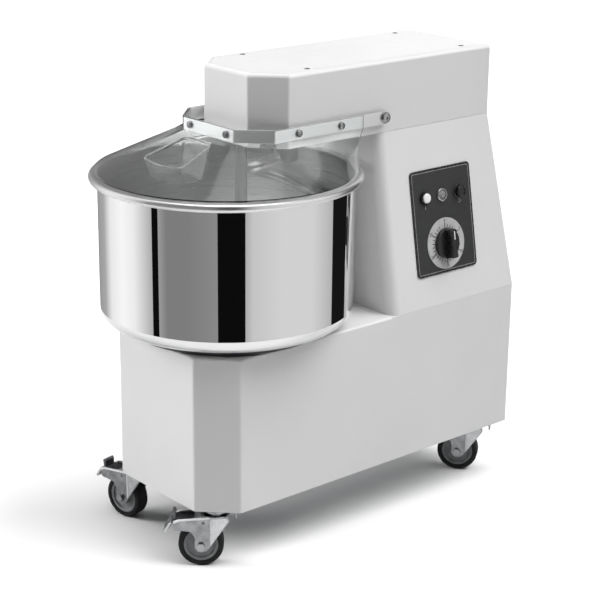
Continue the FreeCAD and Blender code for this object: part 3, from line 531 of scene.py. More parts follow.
def cover_screw_places():
    """Axes of each countersunk screw of the lid and of the rear cover, Z outwards."""
    places = []
    for side in (-1, 1):
        for y in (head_low.y + lid_screw_front, head_high.y - lid_screw_rear):
            places.append(move((side * (head_high.x - lid_screw_in), y, lid_high.z)))
    lean = atan((base_high.y - head_high.y) / (column_high.z - column_low.z))
    upward = Vector((0, -sin(lean), cos(lean)))
    outward = Vector((0, cos(lean), sin(lean)))
    middle = Vector((0, (base_high.y + head_high.y) / 2, (column_low.z + column_high.z) / 2))
    for side in (-1, 1):
        for x, rise in cover_screw_rows:
            place = middle + Vector((side * x, 0, 0)) + upward * rise
            places.append(axes(place, (-1, 0, 0), upward, outward))
    return places


def slotted(places, turns, profile, segments, slot_low, slot_high):
    """Screws turned from a profile, each with its slot left at its own angle."""
    bm, slots = bmesh.new(), bmesh.new()
    for at, turn in zip(places, turns):
        lathe(bm, profile, segments, at=at)
        block(slots, slot_low, slot_high, at=at @ Matrix.Rotation(radians(turn), 4, "Z"))
    return carve(bm, slots)


def cover_screws():
    """Countersunk slotted screws of the lid and of the rear cover."""
    screw = [(2.4, -12), (2.4, -2.6), (4.9, -0.35), (5.2, 0.1), (4.6, 0.45), (1.5, 0.55)]
    bm = slotted(cover_screw_places(), range(25, 585, 70), screw, 28, (-6, -0.6, -0.9), (6, 0.6, 2))
    piece("countersunk_screws", bm, ["brake_steel"], "frame", ["cover_screws"], sharp=30)


# --- Bowl and its tools ---
bowl_bottom, bowl_top = span("bowl")[0].z, span("bowl")[1].z
rim, bead = span("bowl")[1].x, 7.0
wall, corner, thick = rim - 15.0, 27.0, 2.0


def bowl():
    """Spun bowl with a rolled rim: mirror outside, satin inside."""
    bead_z = bowl_top - bead
    outside = [(20, bowl_bottom), (100, bowl_bottom)]
    outside += arc((wall - corner, bowl_bottom + corner), corner, -90, 0, 14)
    outside += [(wall, bowl_bottom + 120), (wall, bead_z - 7), (wall + 0.2, bead_z - 4.5)]
    bead_start = len(outside) - 1
    outside += arc((rim - bead, bead_z), bead, 205, 450, 18)
    inside = arc((wall - thick + 2, bowl_top - 2), 2.0, 90, 180, 4)
    inside_start = len(outside) + len(inside) - 2
    inside += [(wall - thick, bowl_bottom + 120)]
    inside += arc((wall - corner, bowl_bottom + corner), corner - thick, 0, -90, 14)
    inside += [(100, bowl_bottom + thick), (20, bowl_bottom + thick)]
    segments = 180
    bm = bmesh.new()
    faces = lathe(bm, outside + inside, segments)
    for k, face in enumerate(faces[:-2]):
        strip = k // segments
        if strip >= bead_start:
            face.material_index = 2
        if strip >= inside_start:
            face.material_index = 1
    faces[-1].material_index = 1
    looks = ["polished_steel", "bowl_inside", "rim_steel"]
    piece("mixing_bowl", bm, looks, "bowl", ["bowl"], sharp=50)


hook_start, hook_sweep, hook_ease = 300.0, 560.0, 110.0      # degrees about the spiral's axis
hook_coil, hook_root, hook_bar = 71.0, 10.0, 11.0
hook_bottom = span("spiral_hook")[0].z + hook_bar
hook_top = span("spiral_hook")[1].z - 22.0


def hook_centre(share):
    """Centre of the hook's bar: share runs from 0 at the hub to 1 at the tip."""
    turned = share * hook_sweep
    reach = min(1.0, turned / hook_ease)
    radius = hook_root + (hook_coil - hook_root) * reach * reach * (3 - 2 * reach)
    angle = radians(hook_start - turned)
    height = hook_top - (hook_top - hook_bottom) * share
    return (radius * cos(angle), spiral_place.y + radius * sin(angle), height)


def hook():
    """Round bar coiled from a hub."""
    steps = 220
    bm = bmesh.new()
    tube(bm, [hook_centre(0.985 * step / steps) for step in range(steps + 1)], hook_bar - 0.2, 28, tip=6)
    hub = [(16, -18), (20.8, -18), (23.2, -16.8), (24, -14.5), (24, 19.5), (23.2, 21.4), (21.5, 22), (15, 22)]
    lathe(bm, hub, 64, at=move((0, spiral_place.y, hook_top)))
    piece("mixing_hook", bm, ["satin_steel"], "spiral", ["spiral_hook"])


def bar():
    """Fixed bar that breaks the dough, with its collar and the nut inside the head."""
    low, high = span("breaker_bar")[0].z, span("breaker_bar")[1].z
    under = head_low.z
    radius, tip, collar, bar_y = 11.0, 4.0, 20.0, 32.0
    centre = move((0, bar_y, 0))
    bm = bmesh.new()
    profile = [(2, low)] + arc((radius - tip, low + tip), tip, -90, 0, 6)
    lathe(bm, profile + [(radius, high - 1), (radius - 1, high), (2, high)], 48, at=centre)
    lathe(bm, [(radius, under - 8), (collar - 1, under - 8), (collar, under - 7), (collar, under),
               (radius, under)], 64, closed=True, at=centre)
    prism(bm, arc((0, 0), collar - 1, 0, 300, 5), under + sheet, under + 18, at=centre)
    piece("dough_bar", bm, ["satin_steel"], "frame", ["breaker_bar"])


# --- Guard ---
band_low, band_high = span("guard_band")
band_half, band_front, band_rear = band_high.x, band_low.y, band_high.y
band_middle, band_rise = (band_low.z + band_high.z) / 2, (band_high.z - band_low.z) / 2
band_chamfer, band_sheet, clear = 50.0, 3.0, 3.0
pivot = joint_place("guard_tilt")
cover_low = span("guard_cover")[0]
rim_radius, rim_height = -cover_low.y, cover_low.z
skirt_angles = [radians(turn) for turn in (62, -8, -58, -122, -172, -242)]
skirt_rear = 221.8
skirt_start, skirt_rake = 0.0565, 0.105          # share of a side cut off at the band, more at the rim
skirt_columns, skirt_rows = (60, 20, 40, 20, 60), 14     # mesh columns on each edge, rows below the band
skirt_easing = 14                                # times the folds are smoothed at the rim
collar_levels = (band_high.z, band_high.z - 8, band_low.z + 4)
chute_bottom, chute_drop = rim_height - 3, 70.0
chute_near, chute_far = (-136.0, 48.0), (-75.0, 33.0)    # y and half width of its sides at the foot
chute_near_spread, chute_far_spread = (-16.0, 12.0), (16.5, 8.0)         # by the height of chute_drop
opening_levels = (chute_bottom - 22, chute_bottom + 110)


def bisect(below, turns=30):
    """Where, from 0 to 1, a test turns from true to false."""
    low, high = 0.0, 1.0
    for _ in range(turns):
        middle = (low + high) / 2
        if below(middle):
            low = middle
        else:
            high = middle
    return middle


def skirt_point(edge, share, drop):
    """Point of the skirt's outside: edge 0 to 4 from the right side round to the left, share along
    it, drop 0 at the band and 1 at the rim."""
    outline = chamfered(band_half + clear, band_front - clear, skirt_rear, band_chamfer + clear * shrink)
    ordered = [outline[0]] + outline[:0:-1]
    top_a, top_b = Vector(ordered[edge]), Vector(ordered[edge + 1])
    turn = skirt_angles[edge] + (skirt_angles[edge + 1] - skirt_angles[edge]) * share
    low = rim_radius * Vector((cos(turn), sin(turn)))
    flat = top_a.lerp(top_b, share).lerp(low, drop)
    return Vector((flat.x, flat.y, band_low.z + (rim_height - band_low.z) * drop))


def skirt_height(x, y):
    """Height of the skirt's front face above a place on the ground plan."""
    def behind(drop):
        share = bisect(lambda trial: skirt_point(2, trial, drop).x > x)
        return skirt_point(2, share, drop).y > y

    return skirt_point(2, 0.5, bisect(behind)).z


def skirt_row(samples, drop, height):
    """One level line of the skirt, its folds eased and its ends on the raked rear edge."""
    start = skirt_start + skirt_rake * drop
    points = []
    for edge, share in samples:
        if edge == 0:
            share = start + (1 - start) * share
        if edge == 4:
            share = share * (1 - start)
        points.append(skirt_point(edge, share, drop))
    for _ in range(1 + round(skirt_easing * drop)):
        eased = [(a + 2 * b + c) / 4 for a, b, c in zip(points, points[1:], points[2:])]
        points = [points[0]] + eased + [points[-1]]
    if height is not None:
        points = [Vector((point.x, point.y, height)) for point in points]
    return points


def thicken(bm, depth):
    """Gives a sheet its thickness, inwards, and closes its rim."""
    bm.normal_update()
    outer = list(bm.faces)
    rim_edges = [edge for edge in bm.edges if edge.is_boundary]
    normals = {vert: vert.normal.copy() for vert in bm.verts}
    twin = {vert: bm.verts.new(vert.co - normals[vert] * depth) for vert in list(bm.verts)}
    for face in outer:
        bm.faces.new([twin[vert] for vert in reversed(face.verts)])
    for edge in rim_edges:
        a, b = edge.verts
        bm.faces.new((a, b, twin[b], twin[a]))
    bmesh.ops.recalc_face_normals(bm, faces=bm.faces)


def chute_outline(height, inset=0.0):
    """Rounded four-sided section of the filling chute at a height, its near side bowed."""
    rise = (height - chute_bottom) / chute_drop
    near, near_half = [at_foot + spread * rise for at_foot, spread in zip(chute_near, chute_near_spread)]
    far, far_half = [at_foot + spread * rise for at_foot, spread in zip(chute_far, chute_far_spread)]
    near, near_half, far, far_half = near + inset, near_half - inset, far - inset, far_half - inset
    corners = [(near_half, near), (far_half, far), (-far_half, far), (-near_half, near)]
    outline = rounded(corners, [9 - inset] * 4)
    start, end = outline[-1], outline[0]
    bow, steps = 7.0, 10
    for step in range(1, steps):
        place = start.lerp(end, step / steps)
        outline.append(Vector((place.x, place.y - bow * sin(pi * step / steps))))
    return outline


def chute_ring(inset):
    """The chute's section just above where it meets the skirt."""
    ring = []
    top = chute_bottom + chute_drop
    for foot, mouth in zip(chute_outline(chute_bottom, inset), chute_outline(top, inset)):
        def under(share):
            place = foot.lerp(mouth, share)
            return chute_bottom + chute_drop * share < skirt_height(place.x, place.y)

        share = bisect(under, 12)
        place = foot.lerp(mouth, share)
        ring.append((place.x, place.y, chute_bottom + chute_drop * share + 0.4))
    return ring


def skirt():
    """Clear skirt: a collar round the band, then down to the rim in rounded folds."""
    samples = []
    for edge, count in enumerate(skirt_columns):
        samples += [(edge, step / count) for step in range(count)]
    samples.append((4, 1.0))
    grid = [skirt_row(samples, 0.0, height) for height in collar_levels]
    grid += [skirt_row(samples, row / skirt_rows, None) for row in range(skirt_rows + 1)]
    bm = bmesh.new()
    verts = [[bm.verts.new(point) for point in line] for line in grid]
    for line, after in zip(verts, verts[1:]):
        for k in range(len(line) - 1):
            bm.faces.new((line[k], after[k], after[k + 1], line[k + 1]))
    bmesh.ops.recalc_face_normals(bm, faces=bm.faces)
    if sum(face.normal.dot(face.calc_center_median()) for face in bm.faces) < 0:
        bmesh.ops.reverse_faces(bm, faces=bm.faces)
    thicken(bm, clear - 0.5)
    opening = bmesh.new()
    skin(opening, [[(*point, level) for point in chute_outline(level, 1.2)] for level in opening_levels])
    made = piece("clear_skirt", carve(bm, opening), ["clear_plastic"], "guard", ["guard_cover"], sharp=60)
    made.visible_shadow = False


def chute():
    """Tapered chute sunk in the skirt, with a small bead round its mouth."""
    foot_out, foot_in = [[Vector((*point, chute_bottom)) for point in chute_outline(chute_bottom, inset)]
                         for inset in (0.0, clear)]
    top_out, top_in = [[Vector(point) for point in chute_ring(inset)] for inset in (0.0, clear)]
    rings = []
    for low, high in ((foot_out, top_out), (top_in, foot_in)):
        rings += [[a.lerp(b, step / 6) for a, b in zip(low, high)] for step in range(7)]
    bm = bmesh.new()
    skin(bm, rings, closed=True)
    tube(bm, [(a + b) / 2 for a, b in zip(top_out, top_in)], 1.7, 10, closed=True)
    made = piece("clear_chute", bm, ["chute_plastic"], "guard", ["guard_cover"], sharp=35)
    made.visible_shadow = False


def band():
    """Folded steel band with round arm ends."""
    def ring(outside, inside, reach):
        return [(*outside, band_middle - reach), (*outside, band_middle + reach),
                (*inside, band_middle + reach), (*inside, band_middle - reach)]

    def arm_end(side):
        rings = []
        for step in range(9):
            turn = radians(10 * step)
            y = band_rear - band_rise + band_rise * sin(turn)
            rings.append(ring((side * band_half, y), (side * (band_half - band_sheet), y),
                              band_rise * cos(turn)))
        return rings

    outer, inner = [rounded(chamfered(band_half, band_front, band_rear, band_chamfer, inset),
                            [0, 0] + [radius] * 4, 6)[2:] for inset, radius in ((0, 6), (band_sheet, 3))]
    rings = [ring(a, b, band_rise) for a, b in zip(outer, inner)]
    bm = bmesh.new()
    skin(bm, arm_end(-1)[::-1] + rings + arm_end(1))
    piece("guard_strip", bm, ["brushed_steel"], "guard", ["guard_band"], edge=0.5, sharp=35)


def dome_screws():
    """Dome-headed slotted screws that hold the skirt to the band."""
    up = (0, 0, 1)
    places = [axes((x, band_front - clear, band_middle), (1, 0, 0), up, (0, -1, 0)) for x in (-50.0, 50.0)]
    places += [axes((side * (band_half + clear), y, band_middle), (0, side, 0), up, (side, 0, 0))
               for side in (-1, 1) for y in (62.0, 159.0)]
    dome = [(6.3 * cos(radians(lean)), 0.5 + 3.0 * sin(radians(lean))) for lean in range(0, 90, 15)]
    profile = [(2.4, -8), (2.4, 0), (6.3, 0)] + dome + [(0.6, 3.5)]
    bm = slotted(places, (0, 90, 90, 0, 20, 90), profile, 32, (-8, -0.75, 1.7), (8, 0.75, 5))
    piece("dome_screws", bm, ["steel_screws"], "guard", ["guard_screws"], sharp=35)


def pivot_bolts():
    """Shoulder bolt of each arm: spacer, washer, and a cap with a small centre hole."""
    casing, inside = head_high.x, band_half - band_sheet - 0.3
    head = [(4.9, 0.2), (10.4, 0.2), (11, 0.7), (11, 1.4), (10.5, 2), (8.5, 2), (8.5, 4.3), (8.0, 5.6),
            (6.8, 6.4), (3.2, 6.6), (2.4, 6.2), (2.0, 4.0), (0.8, 3.8)]
    bm = bmesh.new()
    for side in (-1, 1):
        at = axes((0, pivot.y, pivot.z), (0, side, 0), (0, 0, 1), (side, 0, 0))
        lathe(bm, [(4.9, casing - 14), (4.9, casing), (9, casing), (9, inside), (4.9, inside)]
              + [(radius, band_half + height) for radius, height in head], 40, at=at)
    piece("pivot_bolt_pair", bm, ["steel_screws"], "frame", ["guard_pivot_bolts"], sharp=35)


# --- Control panel ---
panel_low, panel_high = span("control_panel")
outward = -Vector(joints["timer_knob_turn"]["axis"]).normalized()
rightward = Vector((0, 1, 0))
plate_thick = 2.0
panel_centre = (panel_low + panel_high) / 2 - outward * plate_thick / 2
on_panel = axes(panel_centre, rightward, outward.cross(rightward), outward)
panel_half = ((panel_high.y - panel_low.y) / 2, 98.5)
dial_row, button_row, button_gap = -44.0, 47.0, 44.0
dial_radius = (span("dial_plate")[1].y - span("dial_plate")[0].y) / 2 - 1.8
dial_top = plate_thick + 1.0
mark_top = 0.12                                  # of a printed mark above the face it is on


def on_dial(x=0.0, y=0.0, z=0.0):
    return on_panel @ move((x, dial_row + y, z))


def panel_plate():
    """Dark plate with a black border and a thin pale line just inside it."""
    def ring(inset, level):
        x, y = panel_half[0] - inset, panel_half[1] - inset
        corners = [(x, y), (-x, y), (-x, -y), (x, -y)]
        return [(*point, level) for point in rounded(corners, [8 - min(inset, 4)] * 4, 6)]

    line_top = plate_thick + mark_top
    levels = [(0, 0.0, 1), (0, plate_thick - 0.5, 1), (0.15, plate_thick - 0.15, 1), (0.5, plate_thick, 1),
              (4.3, plate_thick, 2), (4.35, line_top, 2), (5.1, line_top, 2), (5.15, plate_thick, 0)]
    rings = [ring(inset, level) for inset, level, _ in levels]
    bm = bmesh.new()
    faces = skin(bm, rings, at=on_panel)
    for k, face in enumerate(faces[:-2]):
        face.material_index = levels[k // len(rings[0])][2]
    faces[-2].material_index = 1
    looks = ["panel_face", "black_plastic", "pale_print"]
    piece("panel_plate", bm, looks, "frame", ["control_panel"], sharp=30)


def figure(text, at):
    """Flat raised digits, as a closed mesh."""
    curve = bpy.data.curves.new("figure", "FONT")
    curve.body = text
    curve.size = 8.0
    curve.extrude = 0.1
    curve.align_x = "CENTER"
    curve.align_y = "CENTER"
    curve.resolution_u = 3
    holder = bpy.data.objects.new("figure", curve)
    scene.collection.objects.link(holder)
    bpy.context.view_layer.update()
    mesh = bpy.data.meshes.new_from_object(holder.evaluated_get(bpy.context.evaluated_depsgraph_get()))
    bpy.data.objects.remove(holder)
    bpy.data.curves.remove(curve)
    mesh.transform(at)
    return mesh


def dial():
    """Pale round scale with a thin rim."""
    profile = [(6, plate_thick), (dial_radius, plate_thick), (dial_radius, dial_top - 0.25),
               (dial_radius - 0.25, dial_top), (6, dial_top)]
    turned_piece("dial_scale", profile, 96, on_dial(), "dial_face", "frame", "dial_plate", 30, closed=True)


def dial_marks():
    """Ticks every 12 degrees, every fifth one longer, and the minutes in figures."""
    figure_radius = 42.8
    marks = bmesh.new()
    for tick in range(29):
        turn = Matrix.Rotation(radians(-12 * tick), 4, "Z")
        half, reach = (0.65, 35.5) if tick % 5 else (0.9, 38.5)
        block(marks, (-half, 30.0, dial_top - 0.1), (half, reach, dial_top + mark_top), at=on_dial() @ turn)
    for k in range(6):
        turn = radians(90 - 60 * k)
        spot = on_dial(figure_radius * cos(turn), figure_radius * sin(turn), dial_top + 0.06)
        digits = figure(str(5 * k), spot)
        marks.from_mesh(digits)
        bpy.data.meshes.remove(digits)
    bmesh.ops.remove_doubles(marks, verts=marks.verts, dist=0.001)
    piece("dial_marks", marks, ["black_plastic"], "frame", sharp=30)


def knob():
    """Round base and a waisted grip with a pale pointer line at its upper end."""
    grip_half, steps = 28.2, 64
    low = plate_thick + 1.3
    bm = bmesh.new()
    lathe(bm, [(3, -20), (3, low), (27.5, low), (29, low + 0.6), (29, 8.6), (28.6, 9.8), (27.6, 10.7),
               (26.0, 11.0), (14, 11.2), (2, 11.2)], 72, at=on_dial())
    rings = []
    for level, grow in ((10.5, 0.6), (13.0, 0.0), (22.5, -0.6), (25.2, -1.2), (26.6, -2.4), (27.0, -4.0)):
        outline = []
        for step in range(steps):
            turn = 2 * pi * step / steps
            reach = (grip_half + grow) * sin(turn)
            waist = 7.2 + 1.9 * (abs(reach) / grip_half) ** 2
            flank = copysign(min(1.0, (abs(cos(turn)) * 2.6) ** 0.8), cos(turn))
            outline.append(((waist + grow) * flank, reach, level))
        rings.append(outline)
    skin(bm, rings, at=on_dial())
    piece("timer_grip", bm, ["black_plastic"], "timer_knob", ["timer_knob"], sharp=50)
    line = bmesh.new()
    outline = rounded([(1.0, 24.0), (-1.0, 24.0), (-1.0, 8.0), (1.0, 8.0)], [0.9] * 4, 4)
    prism(line, outline, 26.4, 27.15, at=on_dial())
    piece("timer_pointer", line, ["white_cap"], "timer_knob", sharp=50)


def at_button(column, y=0.0):
    return on_panel @ move((column * button_gap, button_row + y, 0))


def bezels():
    """Ring round each button; the stop button's is low, clear of its wide cap."""
    profile = ((12.5, 0), (12.5, 2.2), (12.1, 3.2), (11.4, 6.0), (10.9, 6.6), (10.4, 6.4), (10.2, 5.6))
    bm = bmesh.new()
    for column, rise in ((-1, 1.0), (1, 0.28)):
        ring = [(radius, plate_thick + rise * height) for radius, height in profile]
        lathe(bm, ring + [(10.2, -10), (11.0, -10), (11.0, plate_thick)], 56, closed=True,
              at=at_button(column))
    piece("bezel_pair", bm, ["black_plastic"], "frame", ["button_bezels"], sharp=35)


def button_caps():
    """White start button and black mushroom-headed stop button."""
    start = [(9, -8), (9.3, -7.5), (9.3, 8), (9, 9), (8.2, 9.6), (6.5, 10), (4, 10.3), (1, 10.4)]
    turned_piece("start_cap", start, 56, at_button(-1), "white_cap", "start_button", "start_button", 40)
    stop = [(8, -8), (8, 6.8), (10.2, 7.2), (11, 8), (11.2, 9.2), (10.9, 10.9), (9.8, 12.5), (7.6, 13.6),
            (4.2, 14), (1, 14.1)]
    turned_piece("stop_cap", stop, 56, at_button(1), "black_plastic", "stop_button", "stop_button", 40)


def pilot_light():
    """Bright ring round a domed lens."""
    ring = [(13, 0), (13, 1.4), (12.6, 2.4), (11.6, 3.6), (10.4, 4.0), (9.3, 3.7), (8.6, 2.4), (8.6, -12),
            (11.0, -12), (11.0, 0)]
    lens = [(8.5, -12), (8.5, 1.2), (8.0, 2.4), (6.2, 3.4), (3.2, 3.9), (0.8, 4.0)]
    at = at_button(0) @ move((0, 0, plate_thick))
    bm = bmesh.new()
    lathe(bm, ring, 56, closed=True, at=at)
    lathe(bm, lens, 48, slot=1, at=at)
    piece("pilot_light", bm, ["steel_screws", "lamp_lens"], "frame", ["pilot_lamp"])


def button_signs():
    """A plain bar under the start button and a plain ring under the stop button."""
    low, high = plate_thick - 0.1, plate_thick + mark_top
    bm = bmesh.new()
    block(bm, (-0.8, -21, low), (0.8, -15, high), at=at_button(-1))
    lathe(bm, [(2.6, low), (3.6, low), (3.6, high), (2.6, high)], 32, closed=True, at=at_button(1, -18))
    piece("button_signs", bm, ["pale_print"], "frame", sharp=30)


# --- Casters ---
leg_inside, leg_outside = 16.5, 19.0
fork_top = 97.7
pedal_x, pedal_z = 22.0, 85.0
step_out = 49.0                  # from the axle to the root of the brake's foot plate


def caster_axes(name):
    """The caster's own axes: X from the swivel towards the axle, Z up from the floor."""
    swivel, wheel = joint_place(name + "_swivel_turn"), joint_place(name + "_wheel_roll")
    ahead = Vector((wheel.x - swivel.x, wheel.y - swivel.y, 0))
    trail = ahead.length
    ahead.normalize()
    across = Vector((0, 0, 1)).cross(ahead)
    upright = axes((swivel.x, swivel.y, 0), ahead, across, (0, 0, 1))
    side_on = upright @ axes((0, 0, 0), (1, 0, 0), (0, 0, 1), (0, -1, 0))
    rolling = upright @ axes((trail, 0, wheel.z), (1, 0, 0), (0, 0, 1), (0, -1, 0))
    return upright, side_on, rolling, trail


def both_sides(bm, outline, near, far, at, slot=0):
    """The same flat shape on either side of a caster, from near to far off its middle."""
    for side in (-1, 1):
        low, high = sorted((side * near, side * far))
        prism(bm, outline, low, high, slot, at)


def fork(name):
    """Two pressed legs, each with a crease and a top edge coloured as painted highlights and a cheek
    coloured as a painted lit face, a cover between them, and a swivel plate with its tongue behind."""
    upright, side_on, _, trail = caster_axes(name)
    leg = rounded([(-22, fork_top), (-24, 88), (trail - 13, 34), (trail - 5, 28.5), (trail + 5, 28.5),
                   (trail + 11, 36), (trail + 11, 58), (trail + 18, 68), (trail + 48, 71),
                   (trail + 49, 86), (trail + 40, 91), (24, 95), (18, fork_top)],
                  [4, 8, 10, 10, 9, 9, 15, 10, 5, 5, 5, 5, 2])
    crease = rounded([(9.5, 93), (7.2, 93), (7.2, 43), (9.5, 40)], [0.8] * 4, 3)
    painted_lit_cheek = rounded([(7.2, 94), (-20.5, 94), (-21.8, 87.5), (7.2, 42.5)], [1, 4, 7, 1], 4)
    cover = rounded([(38, 90.4), (38, 91.9), (26, 97.3), (10, 97.3), (10, 90.4)], [0.5, 1, 5, 1, 1], 4)
    top_edge = rounded([(trail + 47, 84), (trail + 48.5, 87.5), (trail + 40, 91), (24, 95), (8, 96),
                        (8, 93.6), (24, 92.4), (trail + 38, 88.4)], [1, 1, 4, 6, 0.8, 0.8, 5, 3], 4)
    bm = bmesh.new()
    both_sides(bm, leg, leg_inside, leg_outside, side_on)
    # The crease and the top edge are coloured as painted highlights, the cheek as a painted lit face.
    both_sides(bm, crease, leg_inside + 1, leg_outside + 1.2, side_on, slot=1)
    both_sides(bm, painted_lit_cheek, leg_inside + 1, leg_outside + 0.6, side_on, slot=2)
    both_sides(bm, top_edge, leg_inside, leg_outside + 2.6, side_on, slot=1)
    prism(bm, cover, 0.5 - leg_inside, leg_inside - 0.5, at=side_on)
    under = fork_top - 3
    lathe(bm, [(5.1, under), (24, under), (24, fork_top), (5.1, fork_top)], 56, closed=True, at=upright)
    for low_x, high_x, half, low_z, high_z in ((-18, -6, leg_outside, under, fork_top),
                                               (6, 22, leg_outside, under, fork_top),
                                               (-35, -18, 5, under, fork_top),
                                               (-37, -34, 6.5, fork_top - 10, fork_top + 3)):
        block(bm, (low_x, -half, low_z), (high_x, half, high_z), at=upright)
    looks = ["zinc_plate", "zinc_painted_highlight", "pale_steel_and_lit_zinc"]
    piece(name + "_yoke", bm, looks, name + "_swivel", [name + "_fork"], edge=0.5, sharp=35)


def wheel(name):
    """Plastic centre in three steps and a rubber tyre with a crowned tread."""
    rolling = caster_axes(name)[2]
    centre = [(4.05, 16), (9, 16), (10, 15.2), (10, 12.4), (13.6, 12), (14.3, 8.7), (24.8, 8.5),
              (25.6, 11.5), (26.4, 12), (30.4, 12)]
    tyre = [(30.5, 12.8), (31.3, 14), (35.2, 14)] + arc((35.2, 9.2), 4.8, 78, 12, 5) + [(40, 5)]
    for half, segments, ending, look, node, sharp in (
            (centre, 64, "_wheel_centre", "grey_plastic", "_wheel", 35),
            (tyre, 88, "_tread", "tyre", "_tyre", 50)):
        profile = half + [(radius, -side) for radius, side in half[::-1]]
        turned_piece(name + ending, profile, segments, rolling, look, name + "_roller", name + node, sharp,
                     closed=True)


def brake(name):
    """Rocker with a foot plate, a lifting tab and a rivet through both legs."""
    _, side_on, _, trail = caster_axes(name)
    tip = trail + step_out
    half = leg_inside - 1
    arm = rounded([(pedal_x + 3, 84.6), (tip - 1, 84.6), (tip + 13, 66), (tip + 16, 67.6), (tip + 1.5, 88),
                   (pedal_x + 3, 88)], [0.8, 6, 1.2, 1.2, 6, 0.8], 4)
    tab = rounded([(tip - 5, 86), (tip - 1, 86), (tip + 1, 101), (tip - 2, 103), (tip - 5, 100)],
                  [0.8, 0.8, 1.2, 1.2, 1.2], 3)
    foot_plate = rounded([(tip + 2.6, 82.5), (tip + 13.6, 64.6), (tip + 17, 67.2), (tip + 4.6, 86)],
                         [0.8] * 4, 3)
    bm = bmesh.new()
    prism(bm, arm, -half + 1.5, half - 1.5, at=side_on)
    prism(bm, tab, -half + 4, half - 4, at=side_on)
    prism(bm, foot_plate, -half + 1, half - 1, slot=1, at=side_on)
    lathe(bm, [(2.9, -leg_outside), (2.9, -half), (4.5, -half), (4.5, half), (2.9, half),
               (2.9, leg_outside)], 28, at=side_on @ move((pedal_x, pedal_z, 0)))
    looks = ["brake_steel", "pale_steel_and_lit_zinc"]
    piece(name + "_rocker", bm, looks, name + "_brake", [name + "_brake_pedal"], edge=0.5, sharp=35)


# --- Everything ---
base_casing()
head_casing()
cover_screws()
bowl()
hook()
bar()
skirt()
chute()
band()
dome_screws()
pivot_bolts()
panel_plate()
dial()
dial_marks()
knob()
bezels()
button_caps()
pilot_light()
button_signs()
for caster in ("front_right", "front_left", "rear_right", "rear_left"):
    fork(caster)
    wheel(caster)
    brake(caster)


# --- Camera ---
def add_camera():
    """Looks at the machine from the front right, slightly above."""
    azimuth, elevation = radians(camera_azimuth), radians(camera_elevation)
    roll = radians(camera_roll)
    right = Vector((cos(azimuth), sin(azimuth), 0))
    back = Vector((sin(azimuth) * cos(elevation), -cos(azimuth) * cos(elevation),
                   sin(elevation)))
    upward = back.cross(right)
    across = cos(roll) * right + sin(roll) * upward
    rise = -sin(roll) * right + cos(roll) * upward
    data = bpy.data.cameras.new("camera")
    data.lens = camera_lens
    camera = bpy.data.objects.new("camera", data)
    turn = Matrix((across, rise, back)).transposed().to_4x4()
    camera.matrix_world = move(camera_place) @ turn
    scene.collection.objects.link(camera)
    scene.camera = camera


# --- Studio ---
def sun(name, azimuth, elevation, strength, softness):
    """A soft lamp seen in the direction given, azimuth from +X. It shows in no reflection."""
    data = bpy.data.lights.new(name, "SUN")
    data.energy = strength
    data.angle = radians(softness)
    lamp = bpy.data.objects.new(name, data)
    a, e = radians(azimuth), radians(elevation)
    towards = Vector((cos(a) * cos(e), sin(a) * cos(e), sin(e)))
    lamp.rotation_mode = "QUATERNION"
    lamp.rotation_quaternion = towards.to_track_quat("Z", "Y")
    lamp.visible_glossy = False
    scene.collection.objects.link(lamp)


def seen_through_plastic(tree):
    """1 on a ray that has come straight through the clear plastic, without a reflection."""
    path = add(tree, "LightPath")
    unreflected = add(tree, "Math", "LESS_THAN")
    unreflected.inputs[1].default_value = 0.5
    both = add(tree, "Math", "MULTIPLY")
    wire(path, "Glossy Depth", unreflected, 0)
    wire(unreflected, "Value", both, 0)
    wire(path, "Is Transmission Ray", both, 1)
    return both


def add_world():
    """White behind everything; as a light, dark round the horizon and bright overhead."""
    world = bpy.data.worlds.new("studio")
    scene.world = world
    world.use_nodes = True
    tree = world.node_tree
    overhead = set_inputs(tree.nodes["Background"], Color=rgba(1.0))
    behind = add(tree, "Background", Color=rgba(1.0))
    split = add(tree, "SeparateXYZ")
    ranged = add(tree, "MapRange", From_Min=0.7, From_Max=1.0, To_Min=0.0, To_Max=2.2)
    seen = add(tree, "Math", "MAXIMUM")
    mix = add(tree, "MixShader")
    wire(add(tree, "TexCoord"), "Generated", split, "Vector")
    wire(split, "Z", ranged, "Value")
    wire(ranged, "Result", overhead, "Strength")
    wire(add(tree, "LightPath"), "Is Camera Ray", seen, 0)
    wire(seen_through_plastic(tree), "Value", seen, 1)
    wire(seen, "Value", mix, "Fac")
    wire(overhead, "Background", mix, 1)
    wire(behind, "Background", mix, 2)
    wire(mix, "Shader", tree.nodes["World Output"], "Surface")


def add_floor():
    """Plain pale floor. It throws less light back up at the machine than a real white one."""
    bm = bmesh.new()
    bmesh.ops.create_grid(bm, x_segments=8, y_segments=8, size=floor_size)
    floor = as_object("floor", bm)
    material = finish("floor", 0.6, 0.0, 0.6, Specular_IOR_Level=0.1)
    shade = add(material.node_tree, "MixRGB", Color1=rgba(0.56), Color2=rgba(0.92))
    wire(add(material.node_tree, "LightPath"), "Is Camera Ray", shade, "Fac")
    wire(shade, "Color", shader_of(material), "Base Color")
    floor.data.materials.append(material)


def wall_angle(share):
    """Direction from the bowl's axis to the wall where the bowl mirrors it at this share."""
    to_camera = Vector(camera_place) - bowl_axis
    heading = atan2(to_camera.y, to_camera.x)
    facing = heading + asin(share)
    away = heading + 2 * asin(share)
    radius = bowl_high.x * bowl_wall_share
    start = radius * Vector((cos(facing), sin(facing)))
    along = Vector((cos(away), sin(away)))
    dot = start.dot(along)
    reach = -dot + sqrt(dot * dot - radius * radius + wall_radius * wall_radius)
    hit = start + along * reach
    return atan2(hit.y, hit.x)


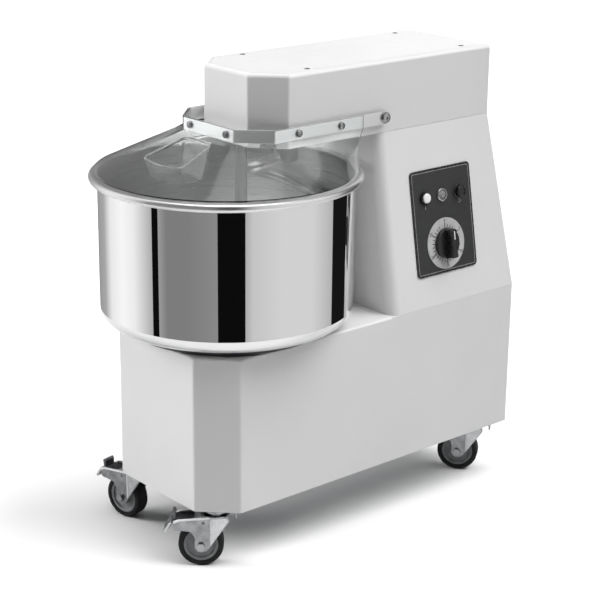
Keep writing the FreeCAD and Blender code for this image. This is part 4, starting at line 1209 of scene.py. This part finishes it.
def glow_only(name, bm, strength=1.0, shades=None):
    """A studio panel that shows only in reflections, white or in a layer of its own shades."""
    panel = as_object(name, bm)
    material = bpy.data.materials.new(name)
    material.use_nodes = True
    tree = material.node_tree
    tree.nodes.remove(tree.nodes["Principled BSDF"])
    glow = add(tree, "Emission", Strength=strength)
    if shades:
        level = add(tree, "VertexColor")
        level.layer_name = shades
        wire(level, "Color", glow, "Color")
    mix = add(tree, "MixShader")
    wire(seen_through_plastic(tree), "Value", mix, "Fac")
    wire(glow, "Emission", mix, 1)
    wire(add(tree, "BsdfTransparent"), "BSDF", mix, 2)
    wire(mix, "Shader", tree.nodes["Material Output"], "Surface")
    panel.data.materials.append(material)
    for ray in ("camera", "diffuse", "volume_scatter", "shadow"):
        setattr(panel, "visible_" + ray, False)


def add_high_panel():
    """High light behind the machine, mirrored by the right side of the clear skirt."""
    bm = bmesh.new()
    bm.faces.new([bm.verts.new(corner) for corner in high_panel_corners])
    glow_only("high_panel", bm, strength=5.0)


def add_studio_wall():
    """The upright panels round the machine, their brightness running evenly from end to end."""
    bm = bmesh.new()
    shade = bm.loops.layers.float_color.new("shade")
    for start_share, end_share, start_shade, end_shade in studio_panels:
        start, end = wall_angle(start_share), wall_angle(end_share)
        if end < start:
            end += 2 * pi
        steps = max(2, round((end - start) / radians(6)))
        for step in range(steps):
            corners = []
            for stop, height in ((step, 0), (step + 1, 0), (step + 1, wall_height), (step, wall_height)):
                angle = start + (end - start) * stop / steps
                level = start_shade + (end_shade - start_shade) * stop / steps
                place = (wall_radius * cos(angle), bowl_axis.y + wall_radius * sin(angle), height)
                corners.append((bm.verts.new(place), level))
            face = bm.faces.new([vert for vert, _ in corners])
            for loop, (_, level) in zip(face.loops, corners):
                loop[shade] = rgba(level)
    glow_only("studio_wall", bm, shades="shade")


add_camera()
add_world()
add_floor()
add_studio_wall()
add_high_panel()
sun("left_light", -141, 20, 2.96, 30)
sun("right_light", 44, 55, 2.76, 45)
scene.view_settings.view_transform = "Standard"
